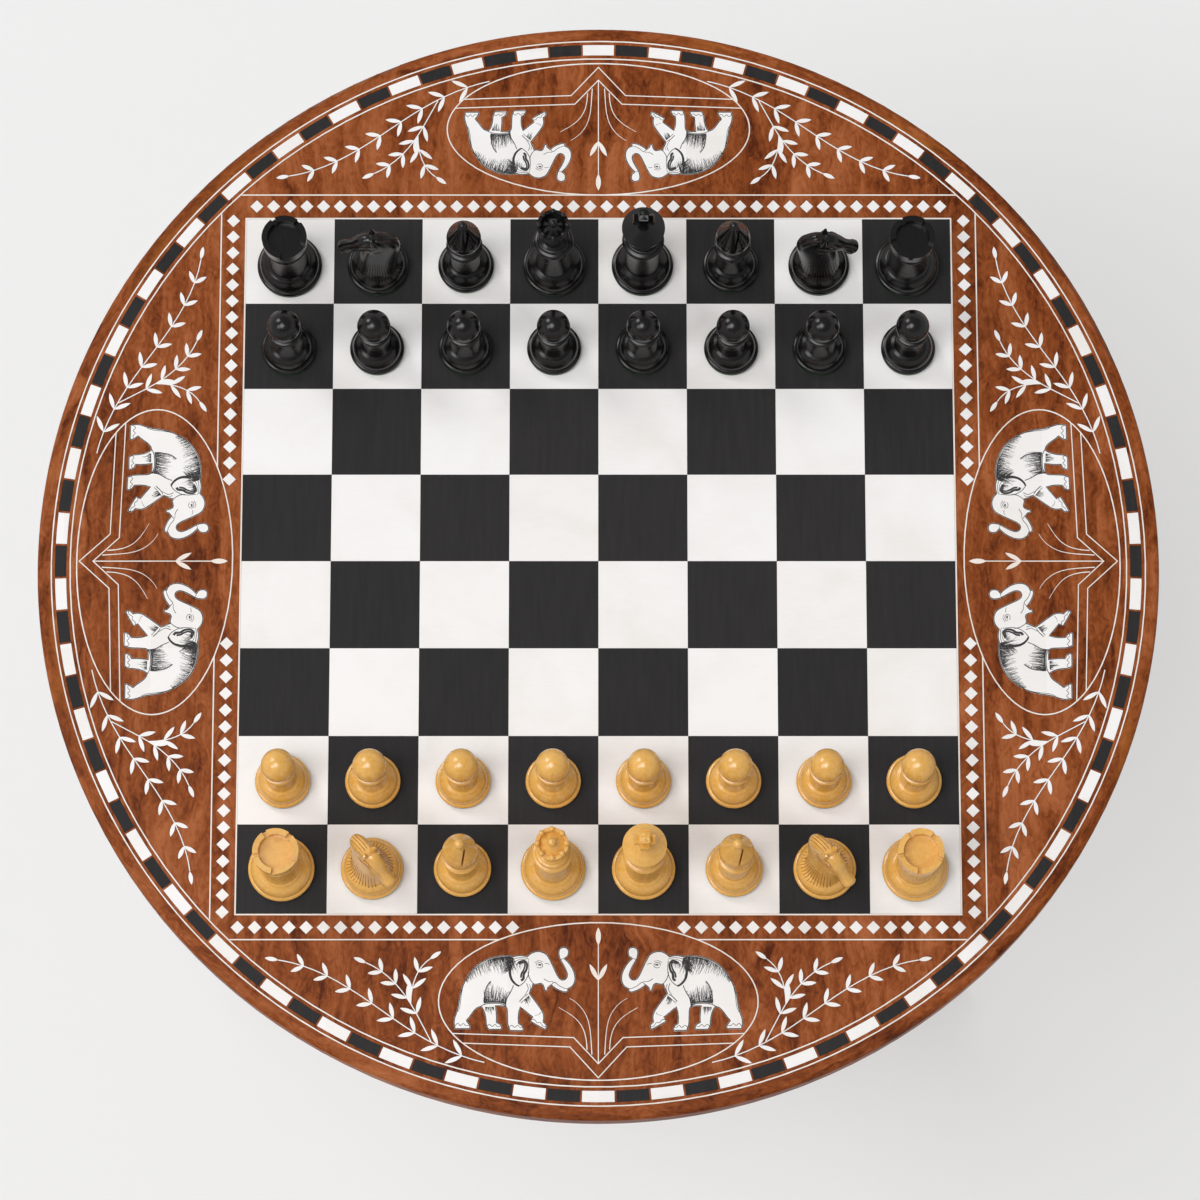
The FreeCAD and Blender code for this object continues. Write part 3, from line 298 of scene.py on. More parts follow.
@dataclass(frozen=True)
class WoodFinish(Finish):
    """Figured wood with cloud, mottle, streaks, growth lines, fibres, flecks, pores and sapwood."""

    grain: Grain
    dark: Colour
    middle: Colour
    light: Colour
    smudge: float = 0.45
    gloss: float = 0.44
    coat: float = 0.0
    sap: Colour = srgb(176, 106, 38)
    sap_share: float = 0.0
    rim_radius: float = 0.3
    leg_radius: float = 0.12
    sway: float = 0.03
    growth_rate: float = 420.0
    growth_share: float = 0.03
    pore_share: float = 0.3
    tone_shift: float = 0.575
    tone_places: tuple[float, ...] = (0.26, 0.5, 0.76)
    full_stain: float = 1.3

    def _along(self, sheet: ShaderSheet) -> tuple[Signal, Signal, Signal]:
        """Place along the grain, across it and in depth, in metres."""
        x, y, z = sheet.axes(sheet.place())
        if self.grain is Grain.PANEL:
            return y, x, z
        if self.grain is Grain.UPRIGHT:
            return z, x, y
        if self.grain is Grain.BOARD:
            return x, y, z
        radius = (x * x + y * y) ** 0.5
        turn = sheet.maths("ARCTAN2", y, x)
        if self.grain is Grain.RING:
            return turn * self.rim_radius, radius, z
        return radius, turn * self.leg_radius, z

    def material(self) -> bpy.types.Material:
        """Make the wood."""
        sheet = ShaderSheet(self.name)
        along, across, depth = self._along(sheet)
        cloud, mottle, pore, sap = (
            layer.read(sheet, across, along, depth) for layer in (CLOUD, MOTTLE, PORE, SAP))
        bent = across + (cloud - 0.5) * self.sway
        streak, fibre, fleck = (layer.read(sheet, bent, along, depth) for layer in (STREAK, FIBRE, FLECK))
        growth = sheet.maths("SINE", bent * self.growth_rate + streak * 9.0 + along * 16.0)
        tone = cloud * CLOUD.share + streak * STREAK.share + mottle * MOTTLE.share + fibre * FIBRE.share
        tone = tone + growth * self.growth_share - self.tone_shift
        colour = sheet.ramp(tone, self.tone_places, self.dark, self.middle, self.light)
        pores = pore.smooth(*PORE.marks) * self.pore_share
        smudge = mottle.smooth(*MOTTLE.marks) * cloud.smooth(*CLOUD.marks) * self.smudge
        stain = (smudge + fleck.smooth(*FLECK.marks) * self.smudge + pores).smooth(0.0, self.full_stain)
        colour = sheet.mix(stain, colour, self.dark)
        colour = sheet.mix(sap.smooth(*SAP.marks) * self.sap_share, colour, self.sap)
        return sheet.surface({
            "Base Color": colour,
            "Roughness": self.gloss + (streak - 0.5) * 0.18 + pores * 0.2,
            "Specular IOR Level": 0.1,
            "Coat Weight": self.coat,
            "Coat Roughness": 0.22,
            "Normal": sheet.bump(fibre * 0.5 - pores, strength=0.25, depth_mm=0.08),
        })


@dataclass(frozen=True)
class BoneFinish(Finish):
    """White inlay with faint cloud, hairline fibre and a tone for each square."""

    white: Colour
    warm: Colour
    tone_places: tuple[float, ...] = (0.2, 0.62)

    def material(self) -> bpy.types.Material:
        """Make the white inlay."""
        sheet = ShaderSheet(self.name)
        place = sheet.place()
        x, y, z = sheet.axes(place)
        cloud = sheet.noise(place, scale=26.0, detail=4.0, bend=0.6)
        hair = sheet.noise(sheet.vector(x * 160.0, y * 1300.0, z), scale=1.0, detail=2.0)
        square = sheet.squares(x, y, seed=0.0)
        fleck = sheet.noise(place, scale=900.0, detail=2.0).smooth(0.68, 0.8)
        tone = cloud * 0.9 + hair * 0.25 + square * 0.3 - 0.25
        colour = sheet.ramp(tone, self.tone_places, self.warm, self.white)
        return sheet.surface({
            "Base Color": sheet.mix(fleck * 0.12, colour, self.warm),
            "Roughness": 0.42 + (cloud - 0.5) * 0.2,
            "Specular IOR Level": 0.35,
            "Normal": sheet.bump(hair, strength=0.12, depth_mm=0.04),
        })


@dataclass(frozen=True)
class EbonyFinish(Finish):
    """Dark inlay with fine streaks and specks, and a tone for each square."""

    black: Colour
    grey: Colour
    speck: Colour = (0.09, 0.088, 0.088)
    tone_places: tuple[float, ...] = (0.25, 0.75)

    def material(self) -> bpy.types.Material:
        """Make the dark inlay."""
        sheet = ShaderSheet(self.name)
        place = sheet.place()
        x, y, z = sheet.axes(place)
        streak = EBONY_STREAK.read(sheet, x, y, z)
        square = sheet.squares(x, y, seed=2.0)
        speck = sheet.noise(place, scale=1500.0, detail=1.0).smooth(0.7, 0.8)
        colour = sheet.ramp(streak * 0.8 + square * 0.2, self.tone_places, self.black, self.grey)
        return sheet.surface({
            "Base Color": sheet.mix(speck * 0.35, colour, self.speck),
            "Roughness": 0.5 + (streak - 0.5) * 0.25,
            "Specular IOR Level": 0.15,
            "Normal": sheet.bump(streak, strength=0.15, depth_mm=0.05),
        })


@dataclass(frozen=True)
class ManFinish(Finish):
    """Turned and polished wood of a man with fine grooves, above a disc of green baize; a painted groove
    colour darkens the boxwood's grooves as painted shade and lightens the ebonised men's grooves.
    """

    dark: Colour
    middle: Colour
    light: Colour
    worn: Colour
    # Painted groove colour: on boxwood a darker brown that paints the shade in grooves and carved lines; on
    # ebonised wood a lighter brown
    cut: Colour
    worn_share: float
    gloss: float
    shine: float
    tone_places: tuple[float, ...] = (0.2, 0.5, 0.8)
    grooves: float = 0.5
    groove_step: float = 2.4 * MM
    groove_zone: tuple[float, float] = (16.0 * MM, 25.0 * MM)
    groove_relief: float = 6.0
    baize: Colour = srgb(22, 58, 36)
    baize_nap: Colour = srgb(46, 92, 58)
    baize_edge: float = 0.05 * MM
    baize_roughness: float = 0.95

    def plain(self) -> "ManFinish":
        """The same wood without turned grooves."""
        return replace(self, name=self.name + "_plain", grooves=0.0)

    def carved(self) -> "ManFinish":
        """The same wood in its painted groove colour, for the knights' lines; on boxwood this colour is
        painted shade.
        """
        tones = {"dark": self.cut, "middle": self.cut, "light": self.worn}
        return replace(self, name=self.name + "_painted_groove_tone", grooves=0.0, **tones)

    def material(self) -> bpy.types.Material:
        """Make the wood and baize."""
        sheet = ShaderSheet(self.name)
        place = sheet.place()
        x, y, z = sheet.axes(place)
        cloud = sheet.noise(place, scale=60.0, detail=2.0, bend=0.4)
        grain = sheet.noise(sheet.vector(x * 620.0, y * 620.0, z * 36.0), scale=1.0, detail=3.0, bend=0.3)
        rub = sheet.noise(place, scale=210.0, detail=4.0, bend=1.0).smooth(0.55, 0.75)
        wood = sheet.ramp(cloud * 0.5 + grain * 0.5, self.tone_places, self.dark, self.middle, self.light)
        wood = sheet.mix(rub * self.worn_share, wood, self.worn)
        height = z - BAIZE_LEVEL
        low, high = self.groove_zone
        zone = height.smooth(low, low + MM) * (1.0 - height.smooth(high, high + MM)) * self.grooves
        wave = sheet.maths("SINE", height * (2.0 * math.pi / self.groove_step))
        groove = wave.smooth(0.6, 0.98) * zone
        # Painted groove colour in the grooves: painted shade on boxwood, a lighter brown on ebonised wood
        wood = sheet.mix(groove, wood, self.cut)
        nap = sheet.noise(place, scale=2400.0, detail=2.0)
        felt = sheet.mix(nap, self.baize, self.baize_nap)
        is_wood = z.smooth(BAIZE_LEVEL, BAIZE_LEVEL + self.baize_edge)
        relief = (grain * 0.3 - groove * self.groove_relief) * is_wood + nap * (1.0 - is_wood)
        polish = self.gloss + (grain - 0.5) * 0.06 + rub * 0.05
        return sheet.surface({
            "Base Color": sheet.mix(is_wood, felt, wood),
            "Roughness": self.baize_roughness - (self.baize_roughness - polish) * is_wood,
            "Specular IOR Level": self.shine,
            "Normal": sheet.bump(relief, strength=0.18, depth_mm=0.06),
        })


@dataclass(frozen=True)
class SpeckledFinish(Finish):
    """Two colours in a fine noise, for ink, steel and plastic."""

    colour: Colour
    speck: Colour
    scale: float
    detail: float
    roughness: float
    bend: float = 0.0
    marks: Union[tuple[float, float], None] = None
    share: float = 1.0
    metallic: float = 0.0
    relief: float = 0.0

    def material(self) -> bpy.types.Material:
        """Make the speckled surface."""
        sheet = ShaderSheet(self.name)
        noise = sheet.noise(sheet.place(), self.scale, self.detail, self.bend)
        specks = noise.smooth(*self.marks) * self.share if self.marks else noise
        sockets = {
            "Base Color": sheet.mix(specks, self.colour, self.speck),
            "Metallic": self.metallic,
            "Roughness": self.roughness + noise * 0.2,
        }
        if self.relief:
            sockets["Normal"] = sheet.bump(noise, self.relief, depth_mm=0.08)
        return sheet.surface(sockets)


ROSEWOOD = (srgb(82, 32, 6), srgb(136, 69, 29), srgb(170, 99, 58))
PLAIN_WOOD = (srgb(120, 88, 56), srgb(176, 138, 94), srgb(200, 166, 122))
GROUND = WoodFinish("rosewood_ground", "rosewood", Grain.PANEL, *ROSEWOOD)
LIPPING = WoodFinish("rosewood_lipping", "rosewood", Grain.RING, *ROSEWOOD, smudge=0.35, sap_share=0.45)
COLUMN = WoodFinish("base_column", "base_wood", Grain.UPRIGHT, *ROSEWOOD, gloss=0.36, coat=0.2)
LEG = replace(COLUMN, name="base_leg", grain=Grain.SPLAYED)
CORE = WoodFinish("core_boards", "core_wood", Grain.BOARD, *PLAIN_WOOD, smudge=0.2, gloss=0.6)
BONE = BoneFinish("white_inlay", "white_inlay", srgb(243, 241, 240), srgb(235, 231, 227))
HOLLY = BoneFinish("string_inlay", "white_inlay", srgb(244, 236, 229), srgb(234, 220, 208))
EBONY = EbonyFinish("black_inlay", "black_inlay", srgb(34, 33, 34), srgb(44, 42, 43))
INK = SpeckledFinish("engraver_ink", "black_inlay", srgb(36, 35, 36), srgb(84, 82, 82),
                     scale=1400.0, detail=3.0, roughness=0.6, marks=(0.45, 0.75), share=0.5)
STEEL = SpeckledFinish("screw_steel", "screw_steel", srgb(150, 142, 126), srgb(104, 92, 74), scale=700.0,
                       detail=4.0, roughness=0.3, bend=0.5, marks=(0.4, 0.7), metallic=1.0)
PLASTIC = SpeckledFinish("glide_plastic", "glide_plastic", srgb(52, 46, 42), srgb(78, 70, 64),
                         scale=1800.0, detail=2.0, roughness=0.5, relief=0.3)
# cut is the painted groove colour: on boxwood a darker brown that paints the shade of grooves and carved
# lines
BOXWOOD = ManFinish("boxwood_men", "boxwood",
                    dark=srgb(208, 150, 62), middle=srgb(226, 171, 82), light=srgb(238, 188, 104),
                    worn=srgb(206, 148, 64), cut=srgb(160, 108, 44), worn_share=0.1, gloss=0.25, shine=0.8)
# cut is a lighter brown painted into the ebonised men's grooves and carved lines
EBONISED = ManFinish("ebonised_men", "ebonised_wood",
                     dark=srgb(8, 7, 7), middle=srgb(14, 12, 12), light=srgb(22, 18, 17),
                     worn=srgb(36, 23, 18), cut=srgb(52, 40, 33), worn_share=0.3, gloss=0.22, shine=0.36)


@dataclass
class Mesh:
    """Vertices and faces that grow piece by piece into one object."""

    points: list[Vector] = field(default_factory=list)
    faces: list[tuple[int, ...]] = field(default_factory=list)
    ridge_sink: float = 0.4

    def ridge(self, line: Sequence[Vector], normals: Sequence[Vector], widths: Sequence[float],
              heights: Sequence[float], closed: bool = False) -> None:
        """Add a closed low ridge of three-sided section along a line on a surface.

        Args:
            line: Points on the surface.
            normals: The surface's direction at each point.
            widths: Width of the ridge at each point.
            heights: Height of the ridge at each point.
            closed: True if the line ends where it starts.
        """
        first = len(self.points)
        count = len(line)
        for index, (point, normal) in enumerate(zip(line, normals)):
            after = line[(index + 1) % count] if closed or index + 1 < count else point
            before = line[index - 1] if closed or index > 0 else point
            side = normal.cross(after - before).normalized() * (widths[index] / 2.0)
            sunk = normal * (heights[index] * self.ridge_sink)
            self.points += [point + side - sunk, point + normal * heights[index], point - side - sunk]
        for span in range(count if closed else count - 1):
            here = first + 3 * span
            there = first + 3 * ((span + 1) % count)
            for corner, other in ((0, 1), (1, 2), (2, 0)):
                self.faces.append((here + corner, here + other, there + other, there + corner))
        if not closed:
            self.faces.append((first + 2, first + 1, first))
            last = first + 3 * (count - 1)
            self.faces.append((last, last + 1, last + 2))

    def ball(self, centre: Vector, directions: Matrix, radii: Vector,
             rings: int = 6, sides: int = 10) -> None:
        """Add a flattened ball.

        Args:
            centre: Its middle.
            directions: Directions of its three radii, as columns.
            radii: The three radii.
            rings: Bands from pole to pole.
            sides: Faces round each band.
        """
        first = len(self.points)
        for ring in range(1, rings):
            lift = math.pi * ring / rings
            for side in range(sides):
                turn = 2.0 * math.pi * side / sides
                local = Vector((math.sin(lift) * math.cos(turn) * radii.x,
                                math.sin(lift) * math.sin(turn) * radii.y, math.cos(lift) * radii.z))
                self.points.append(centre + directions @ local)
        top = len(self.points)
        pole = directions @ Vector((0.0, 0.0, radii.z))
        self.points += [centre + pole, centre - pole]
        low = first + (rings - 2) * sides
        for side in range(sides):
            other = (side + 1) % sides
            self.faces.append((top, first + side, first + other))
            self.faces.append((top + 1, low + other, low + side))
            for here in range(first, low, sides):
                there = here + sides
                self.faces.append((here + side, there + side, there + other, here + other))

    def piece(self, name: str, material: bpy.types.Material, body: str, slot: str) -> None:
        """Make the object and set it on a body.

        Args:
            name: Name of the piece.
            material: Its finish.
            body: Body that it moves with.
            slot: Record slot of its finish; not used.
        """
        mesh = bpy.data.meshes.new(name)
        mesh.from_pydata([tuple(point) for point in self.points], [], self.faces)
        mesh.materials.append(material)
        mesh.validate()
        mesh.update()
        made = bpy.data.objects.new(name, mesh)
        bpy.context.scene.collection.objects.link(made)
        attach(made, body)
        LOG.info("%s: %d points on %s", name, len(mesh.vertices), body)


def dress(finishes: Mapping[Finish, Sequence[str]]) -> None:
    """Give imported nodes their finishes.

    Args:
        finishes: Names of the nodes by finish.
    """
    for finish, nodes in finishes.items():
        material = finish.material()
        for name in nodes:
            mesh = frame["nodes"][name].data
            mesh.materials.clear()
            mesh.materials.append(material)
            LOG.info("%s: %s", name, material.name)


def curve_through(points: Sequence[Vector], steps: int) -> list[Vector]:
    """Smooth line through points.

    Args:
        points: Points of the line.
        steps: Spans between two points.

    Returns:
        Points along the line, the first and last of those given among them.
    """
    padded = [points[0], *points, points[-1]]
    line = []
    for index in range(len(points) - 1):
        a, b, c, d = padded[index:index + 4]
        for step in range(steps):
            t = step / steps
            line.append(0.5 * (2.0 * b + (c - a) * t + (2.0 * a - 5.0 * b + 4.0 * c - d) * t ** 2
                               + (3.0 * b - a - 3.0 * c + d) * t ** 3))
    return line + [points[-1]]


@dataclass(frozen=True)
class Line:
    """One engraved line on the elephant's grid, with its width at both ends in grid units."""

    points: tuple[GridPoint, ...]
    start: float = 9.0
    end: float = 5.0


@dataclass(frozen=True)
class Hatch:
    """Hair lines that leave a spine: their lean, their lengths from first to last, count and width."""

    spine: tuple[GridPoint, ...]
    lean: GridPoint
    lengths: tuple[float, ...]
    count: int
    width: float = 7.0


ELEPHANT_LINES = (
    Line(((190, 478), (160, 560), (142, 660), (130, 770), (108, 838))),
    Line(((664, 312), (690, 268), (740, 240), (800, 232), (868, 236), (890, 252)), 8, 6),
    Line(((676, 322), (716, 296), (760, 262), (812, 250), (866, 254)), 8, 4),
    Line(((692, 322), (682, 396), (700, 470), (742, 524), (786, 550)), 34, 20),
    Line(((786, 550), (830, 518), (866, 470), (890, 410), (894, 340), (886, 262)), 9, 7),
    Line(((770, 288), (836, 264), (872, 300), (866, 366), (838, 414), (832, 468), (806, 486)), 20, 30),
    Line(((784, 300), (838, 286), (850, 320), (834, 372), (812, 410), (806, 456)), 16, 22),
    Line(((886, 390), (894, 444), (918, 490), (946, 524)), 10, 7),
    Line(((868, 520), (888, 574), (872, 616), (848, 652)), 8, 5),
    Line(((900, 530), (914, 572), (898, 622)), 7, 4),
    Line(((974, 318), (988, 292), (1020, 286), (1046, 306), (1042, 334), (1012, 346), (982, 336)), 7, 6),
    Line(((1000, 316), (1016, 308), (1030, 318)), 18, 16),
    Line(((960, 290), (1000, 264), (1050, 276)), 6, 4),
    Line(((1072, 298), (1100, 296), (1128, 308)), 7, 4),
    Line(((1060, 468), (1092, 488), (1128, 500), (1166, 496)), 8, 5),
    Line(((1146, 536), (1180, 506), (1232, 546), (1290, 574), (1330, 582)), 8, 6),
    Line(((1232, 260), (1262, 246), (1292, 238)), 7, 5),
    Line(((470, 494), (424, 560), (404, 640), (392, 724)), 12, 9),
    Line(((724, 540), (694, 612), (650, 690), (636, 772)), 9, 11),
    Line(((360, 776), (412, 752), (500, 742), (590, 750), (640, 778)), 9, 9),
    Line(((392, 738), (470, 728), (560, 730), (634, 744)), 16, 14),
    Line(((790, 722), (836, 672), (884, 640)), 10, 8),
    Line(((806, 740), (860, 690), (900, 656)), 7, 5),
    Line(((78, 994), (104, 966), (136, 992), (168, 968), (198, 994), (236, 984)), 7, 6),
    Line(((428, 1006), (456, 978), (490, 1002), (520, 978), (548, 1004), (590, 992)), 7, 6),
    Line(((672, 1016), (704, 988), (740, 1014), (770, 988), (800, 1014), (834, 1006)), 7, 6),
    Line(((922, 926), (958, 926), (988, 960), (1022, 958), (1050, 996), (1086, 1006)), 7, 6),
    Line(((1030, 846), (1000, 870), (960, 880)), 6, 3),
)
ELEPHANT_HATCHES = (
    Hatch(((196, 478), (246, 404), (312, 332), (390, 280), (478, 242), (566, 222), (650, 218), (716, 228)),
          (0.30, 0.95), (40, 80, 110, 140, 170, 200, 220, 190), 150),
    Hatch(((440, 256), (520, 232), (600, 220), (670, 218), (716, 228)),
          (0.18, 0.98), (60, 90, 120, 140, 140), 84, 9.0),
    Hatch(((700, 236), (690, 300), (676, 360)), (-0.72, 0.70), (150, 130, 80), 44, 9.0),
    Hatch(((394, 736), (470, 728), (560, 730), (634, 744)), (0.12, -0.99), (150, 190, 165, 130), 90, 8.0),
    Hatch(((398, 726), (406, 640), (426, 560), (462, 500)), (0.86, 0.30), (74, 60, 44, 24), 34),
    Hatch(((632, 764), (654, 690), (694, 612)), (-0.80, -0.20), (66, 48, 26), 22),
    Hatch(((410, 784), (456, 782), (504, 782)), (0.06, 0.99), (34, 108, 40), 26, 9.0),
    Hatch(((846, 700), (872, 676), (896, 664)), (0.42, 0.90), (60, 104, 60), 18, 9.0),
    Hatch(((752, 300), (800, 272), (846, 262)), (0.10, 0.99), (60, 90, 40), 22, 8.0),
)


@dataclass
class Engraving:
    """Ink lines on the eight elephants: outline, ear, eye, mouth, shading and toes."""

    # Grid of the drawing: leftmost, rightmost and lowest points of the outline, y down
    grid: tuple[float, float, float] = (60.0, 1414.0, 1055.0)
    relief: float = 0.05 * MM
    outline_width: float = 0.7 * MM
    outline_inset: float = 0.45
    outline_step: float = 0.3 * MM
    outline_least: int = 8
    line_gain: float = 1.4
    line_steps: int = 4
    hair_steps: int = 2
    hair_tip: float = 0.35
    hair_lean: float = 0.16
    hair_bow: tuple[float, float] = (-0.06, 0.10)
    hair_widths: tuple[float, float] = (0.6, 1.2)
    shortest_hair: float = 0.35
    hair_spread: float = 0.75
    spine_steps: int = 12
    level_slack: float = 0.1 * MM
    keys_in_metre: float = 1e7
    seed: int = 11

    def outlines(self, node: str) -> list[list[Vector]]:
        """Closed outlines of a node's faces at the table's top.

        Args:
            node: Name of the node.

        Returns:
            One loop of points for each outline.
        """
        mesh = frame["nodes"][node].data
        scale = self.keys_in_metre
        edges: set[tuple[tuple[int, int], tuple[int, int]]] = set()
        for face in mesh.polygons:
            if face.normal.z < 0.99 or abs(face.center.z - LEVEL) > self.level_slack:
                continue
            corners = [mesh.vertices[index].co for index in face.vertices]
            keys = [(round(corner.x * scale), round(corner.y * scale)) for corner in corners]
            for start, end in zip(keys, keys[1:] + keys[:1]):
                if (end, start) in edges:
                    edges.remove((end, start))
                else:
                    edges.add((start, end))
        follows = dict(sorted(edges))
        loops = []
        while follows:
            start, here = follows.popitem()
            loop = [start]
            while here != start and here in follows:
                loop.append(here)
                here = follows.pop(here)
            if len(loop) > self.outline_least:
                loops.append([Vector((x / scale, y / scale, LEVEL)) for x, y in loop])
        return loops

    def build(self) -> None:
        """Engrave all elephants, one piece for each side of the table."""
        rng = random.Random(self.seed)
        meshes = {side: Mesh() for side in Side}
        for loop in sorted(self.outlines("elephant_inlays"), key=lambda loop: (loop[0].x, loop[0].y)):
            middle = sum(loop, Vector()) / len(loop)
            if abs(middle.y) > abs(middle.x):
                side = Side.NEAR if middle.y < 0 else Side.FAR
            else:
                side = Side.RIGHT if middle.x > 0 else Side.LEFT
            self._engrave(meshes[side], loop, math.radians(side.value), rng)
        ink = INK.material()
        for side, mesh in meshes.items():
            mesh.piece("engraving_" + side.name.lower(), ink, TABLE_BODY, INK.slot)

    def _engrave(self, mesh: Mesh, loop: Sequence[Vector], turn: float, rng: random.Random) -> None:
        """Draw one elephant's lines into a mesh.

        Args:
            mesh: Mesh of its side.
            loop: Its outline.
            turn: How far its side is turned from the near side.
            rng: Source of the hand's unevenness.
        """
        self._draw_outline(mesh, loop)
        back = Matrix.Rotation(-turn, 3, "Z")
        forth = Matrix.Rotation(turn, 3, "Z")
        flat = [back @ point for point in loop]
        low_x = min(point.x for point in flat)
        high_x = max(point.x for point in flat)
        low_y = min(point.y for point in flat)
        left, right, lowest = self.grid
        unit = (high_x - low_x) / (right - left)
        mirrored = low_x + high_x > 0.0

        def place(point: GridPoint) -> Vector:
            """A grid point on the table."""
            step = (point[0] - left) * unit
            x = high_x - step if mirrored else low_x + step
            return forth @ Vector((x, low_y + (lowest - point[1]) * unit, LEVEL))

        def draw(points: Sequence[GridPoint], start: float, end: float, steps: int) -> None:
            """One tapering line."""
            line = curve_through([place(point) for point in points], steps)
            last = len(line) - 1
            widths = [unit * (start + (end - start) * index / last) for index in range(last + 1)]
            mesh.ridge(line, [UP] * len(line), widths, [self.relief] * len(line))

        for line in ELEPHANT_LINES:
            draw(line.points, line.start * self.line_gain, line.end * self.line_gain, self.line_steps)
        for hatch in ELEPHANT_HATCHES:
            for hair, width in self._hairs(hatch, rng):
                draw(hair, width, self.hair_tip * width, self.hair_steps)

    def _draw_outline(self, mesh: Mesh, loop: Sequence[Vector]) -> None:
        """Draw the dark line just inside an outline."""
        kept = [loop[0]]
        for point in loop[1:]:
            if (point - kept[-1]).length > self.outline_step:
                kept.append(point)
        count = len(kept)
        inset = []
        for index, point in enumerate(kept):
            along = (kept[(index + 1) % count] - kept[index - 1]).normalized()
            inward = Vector((-along.y, along.x, 0.0))
            inset.append(point + inward * (self.outline_inset * self.outline_width))
        mesh.ridge(inset, [UP] * count, [self.outline_width] * count, [self.relief] * count, True)

    def _hairs(self, hatch: Hatch, rng: random.Random) -> list[tuple[list[GridPoint], float]]:
        """Hair lines of a hatch.

        Args:
            hatch: The hatch.
            rng: Source of the hand's unevenness.

        Returns:
            Three grid points and a width for each hair.
        """
        spine = curve_through([Vector((x, y, 0.0)) for x, y in hatch.spine], self.spine_steps)
        hairs = []
        for index in range(hatch.count):
            share = (index + rng.random()) / hatch.count
            foot = spine[min(int(share * len(spine)), len(spine) - 1)]
            slot = share * (len(hatch.lengths) - 1)
            low = min(int(slot), len(hatch.lengths) - 2)
            length = hatch.lengths[low] + (hatch.lengths[low + 1] - hatch.lengths[low]) * (slot - low)
            length *= self.shortest_hair + self.hair_spread * rng.random()
            swing = rng.uniform(-self.hair_lean, self.hair_lean)
            lean = Vector((hatch.lean[0] + swing, hatch.lean[1], 0.0)).normalized()
            bow = Vector((-lean.y, lean.x, 0.0)) * (length * rng.uniform(*self.hair_bow))
            middle = foot + lean * (length * 0.5) + bow
            tip = foot + lean * length
            points = [(point.x, point.y) for point in (foot, middle, tip)]
            hairs.append((points, hatch.width * rng.uniform(*self.hair_widths)))
        return hairs


@dataclass
class TableTop:
    """The round top: figured ground, lipping, board, inlay and what holds it underneath."""

    finishes: Mapping[Finish, Sequence[str]] = field(default_factory=lambda: {
        GROUND: ("ground_veneer", "rim_veneer"),
        LIPPING: ("edge_band",),
        BONE: ("white_squares", "diamond_inlays", "white_rim_blocks", "leaf_inlays", "elephant_inlays"),
        HOLLY: ("board_border_string", "rim_strings", "panel_strings"),
        EBONY: ("black_squares", "black_rim_blocks"),
        CORE: ("top_core", "bearer_near", "bearer_far", "mounting_block", "tenon_wedge"),
        STEEL: ("bearer_screws", "block_screws", "cap_screw"),
    })

    def build(self) -> None:
        """Dress the top and engrave the elephants."""
        dress(self.finishes)
        Engraving().build()


@dataclass
class Pedestal:
    """Column, legs, cap and glides."""

    finishes: Mapping[Finish, Sequence[str]] = field(default_factory=lambda: {
        COLUMN: ("column", "base_cap"),
        LEG: ("leg_rear", "leg_left", "leg_right"),
        PLASTIC: ("foot_glides",),
    })

    def build(self) -> None:
        """Dress the pedestal."""
        dress(self.finishes)


@dataclass(frozen=True)
class Cut:
    """A painted groove line: its width where it starts and ends and its height in mm, and how its ends rise.
    """

    start: float
    end: float
    height: float
    tip_share: float = 0.3
    tip_slope: float = 4.0


# Lines on one side of a knight's head: places forward of the axis and above the board, in mm
FACE_MARKS = {
    "brow": ((1.0, 52.6), (4.4, 53.2), (7.8, 51.0)),
    "lid": ((2.6, 49.2), (5.2, 48.0), (7.8, 48.4)),
    "cheek": ((-3.2, 44.6), (0.0, 41.6), (4.0, 41.2), (7.6, 42.8)),
    "mouth": ((18.0, 36.9), (15.4, 37.4), (12.6, 38.6)),
    "nostril": ((17.4, 40.4), (16.2, 39.6), (17.0, 38.6)),
}


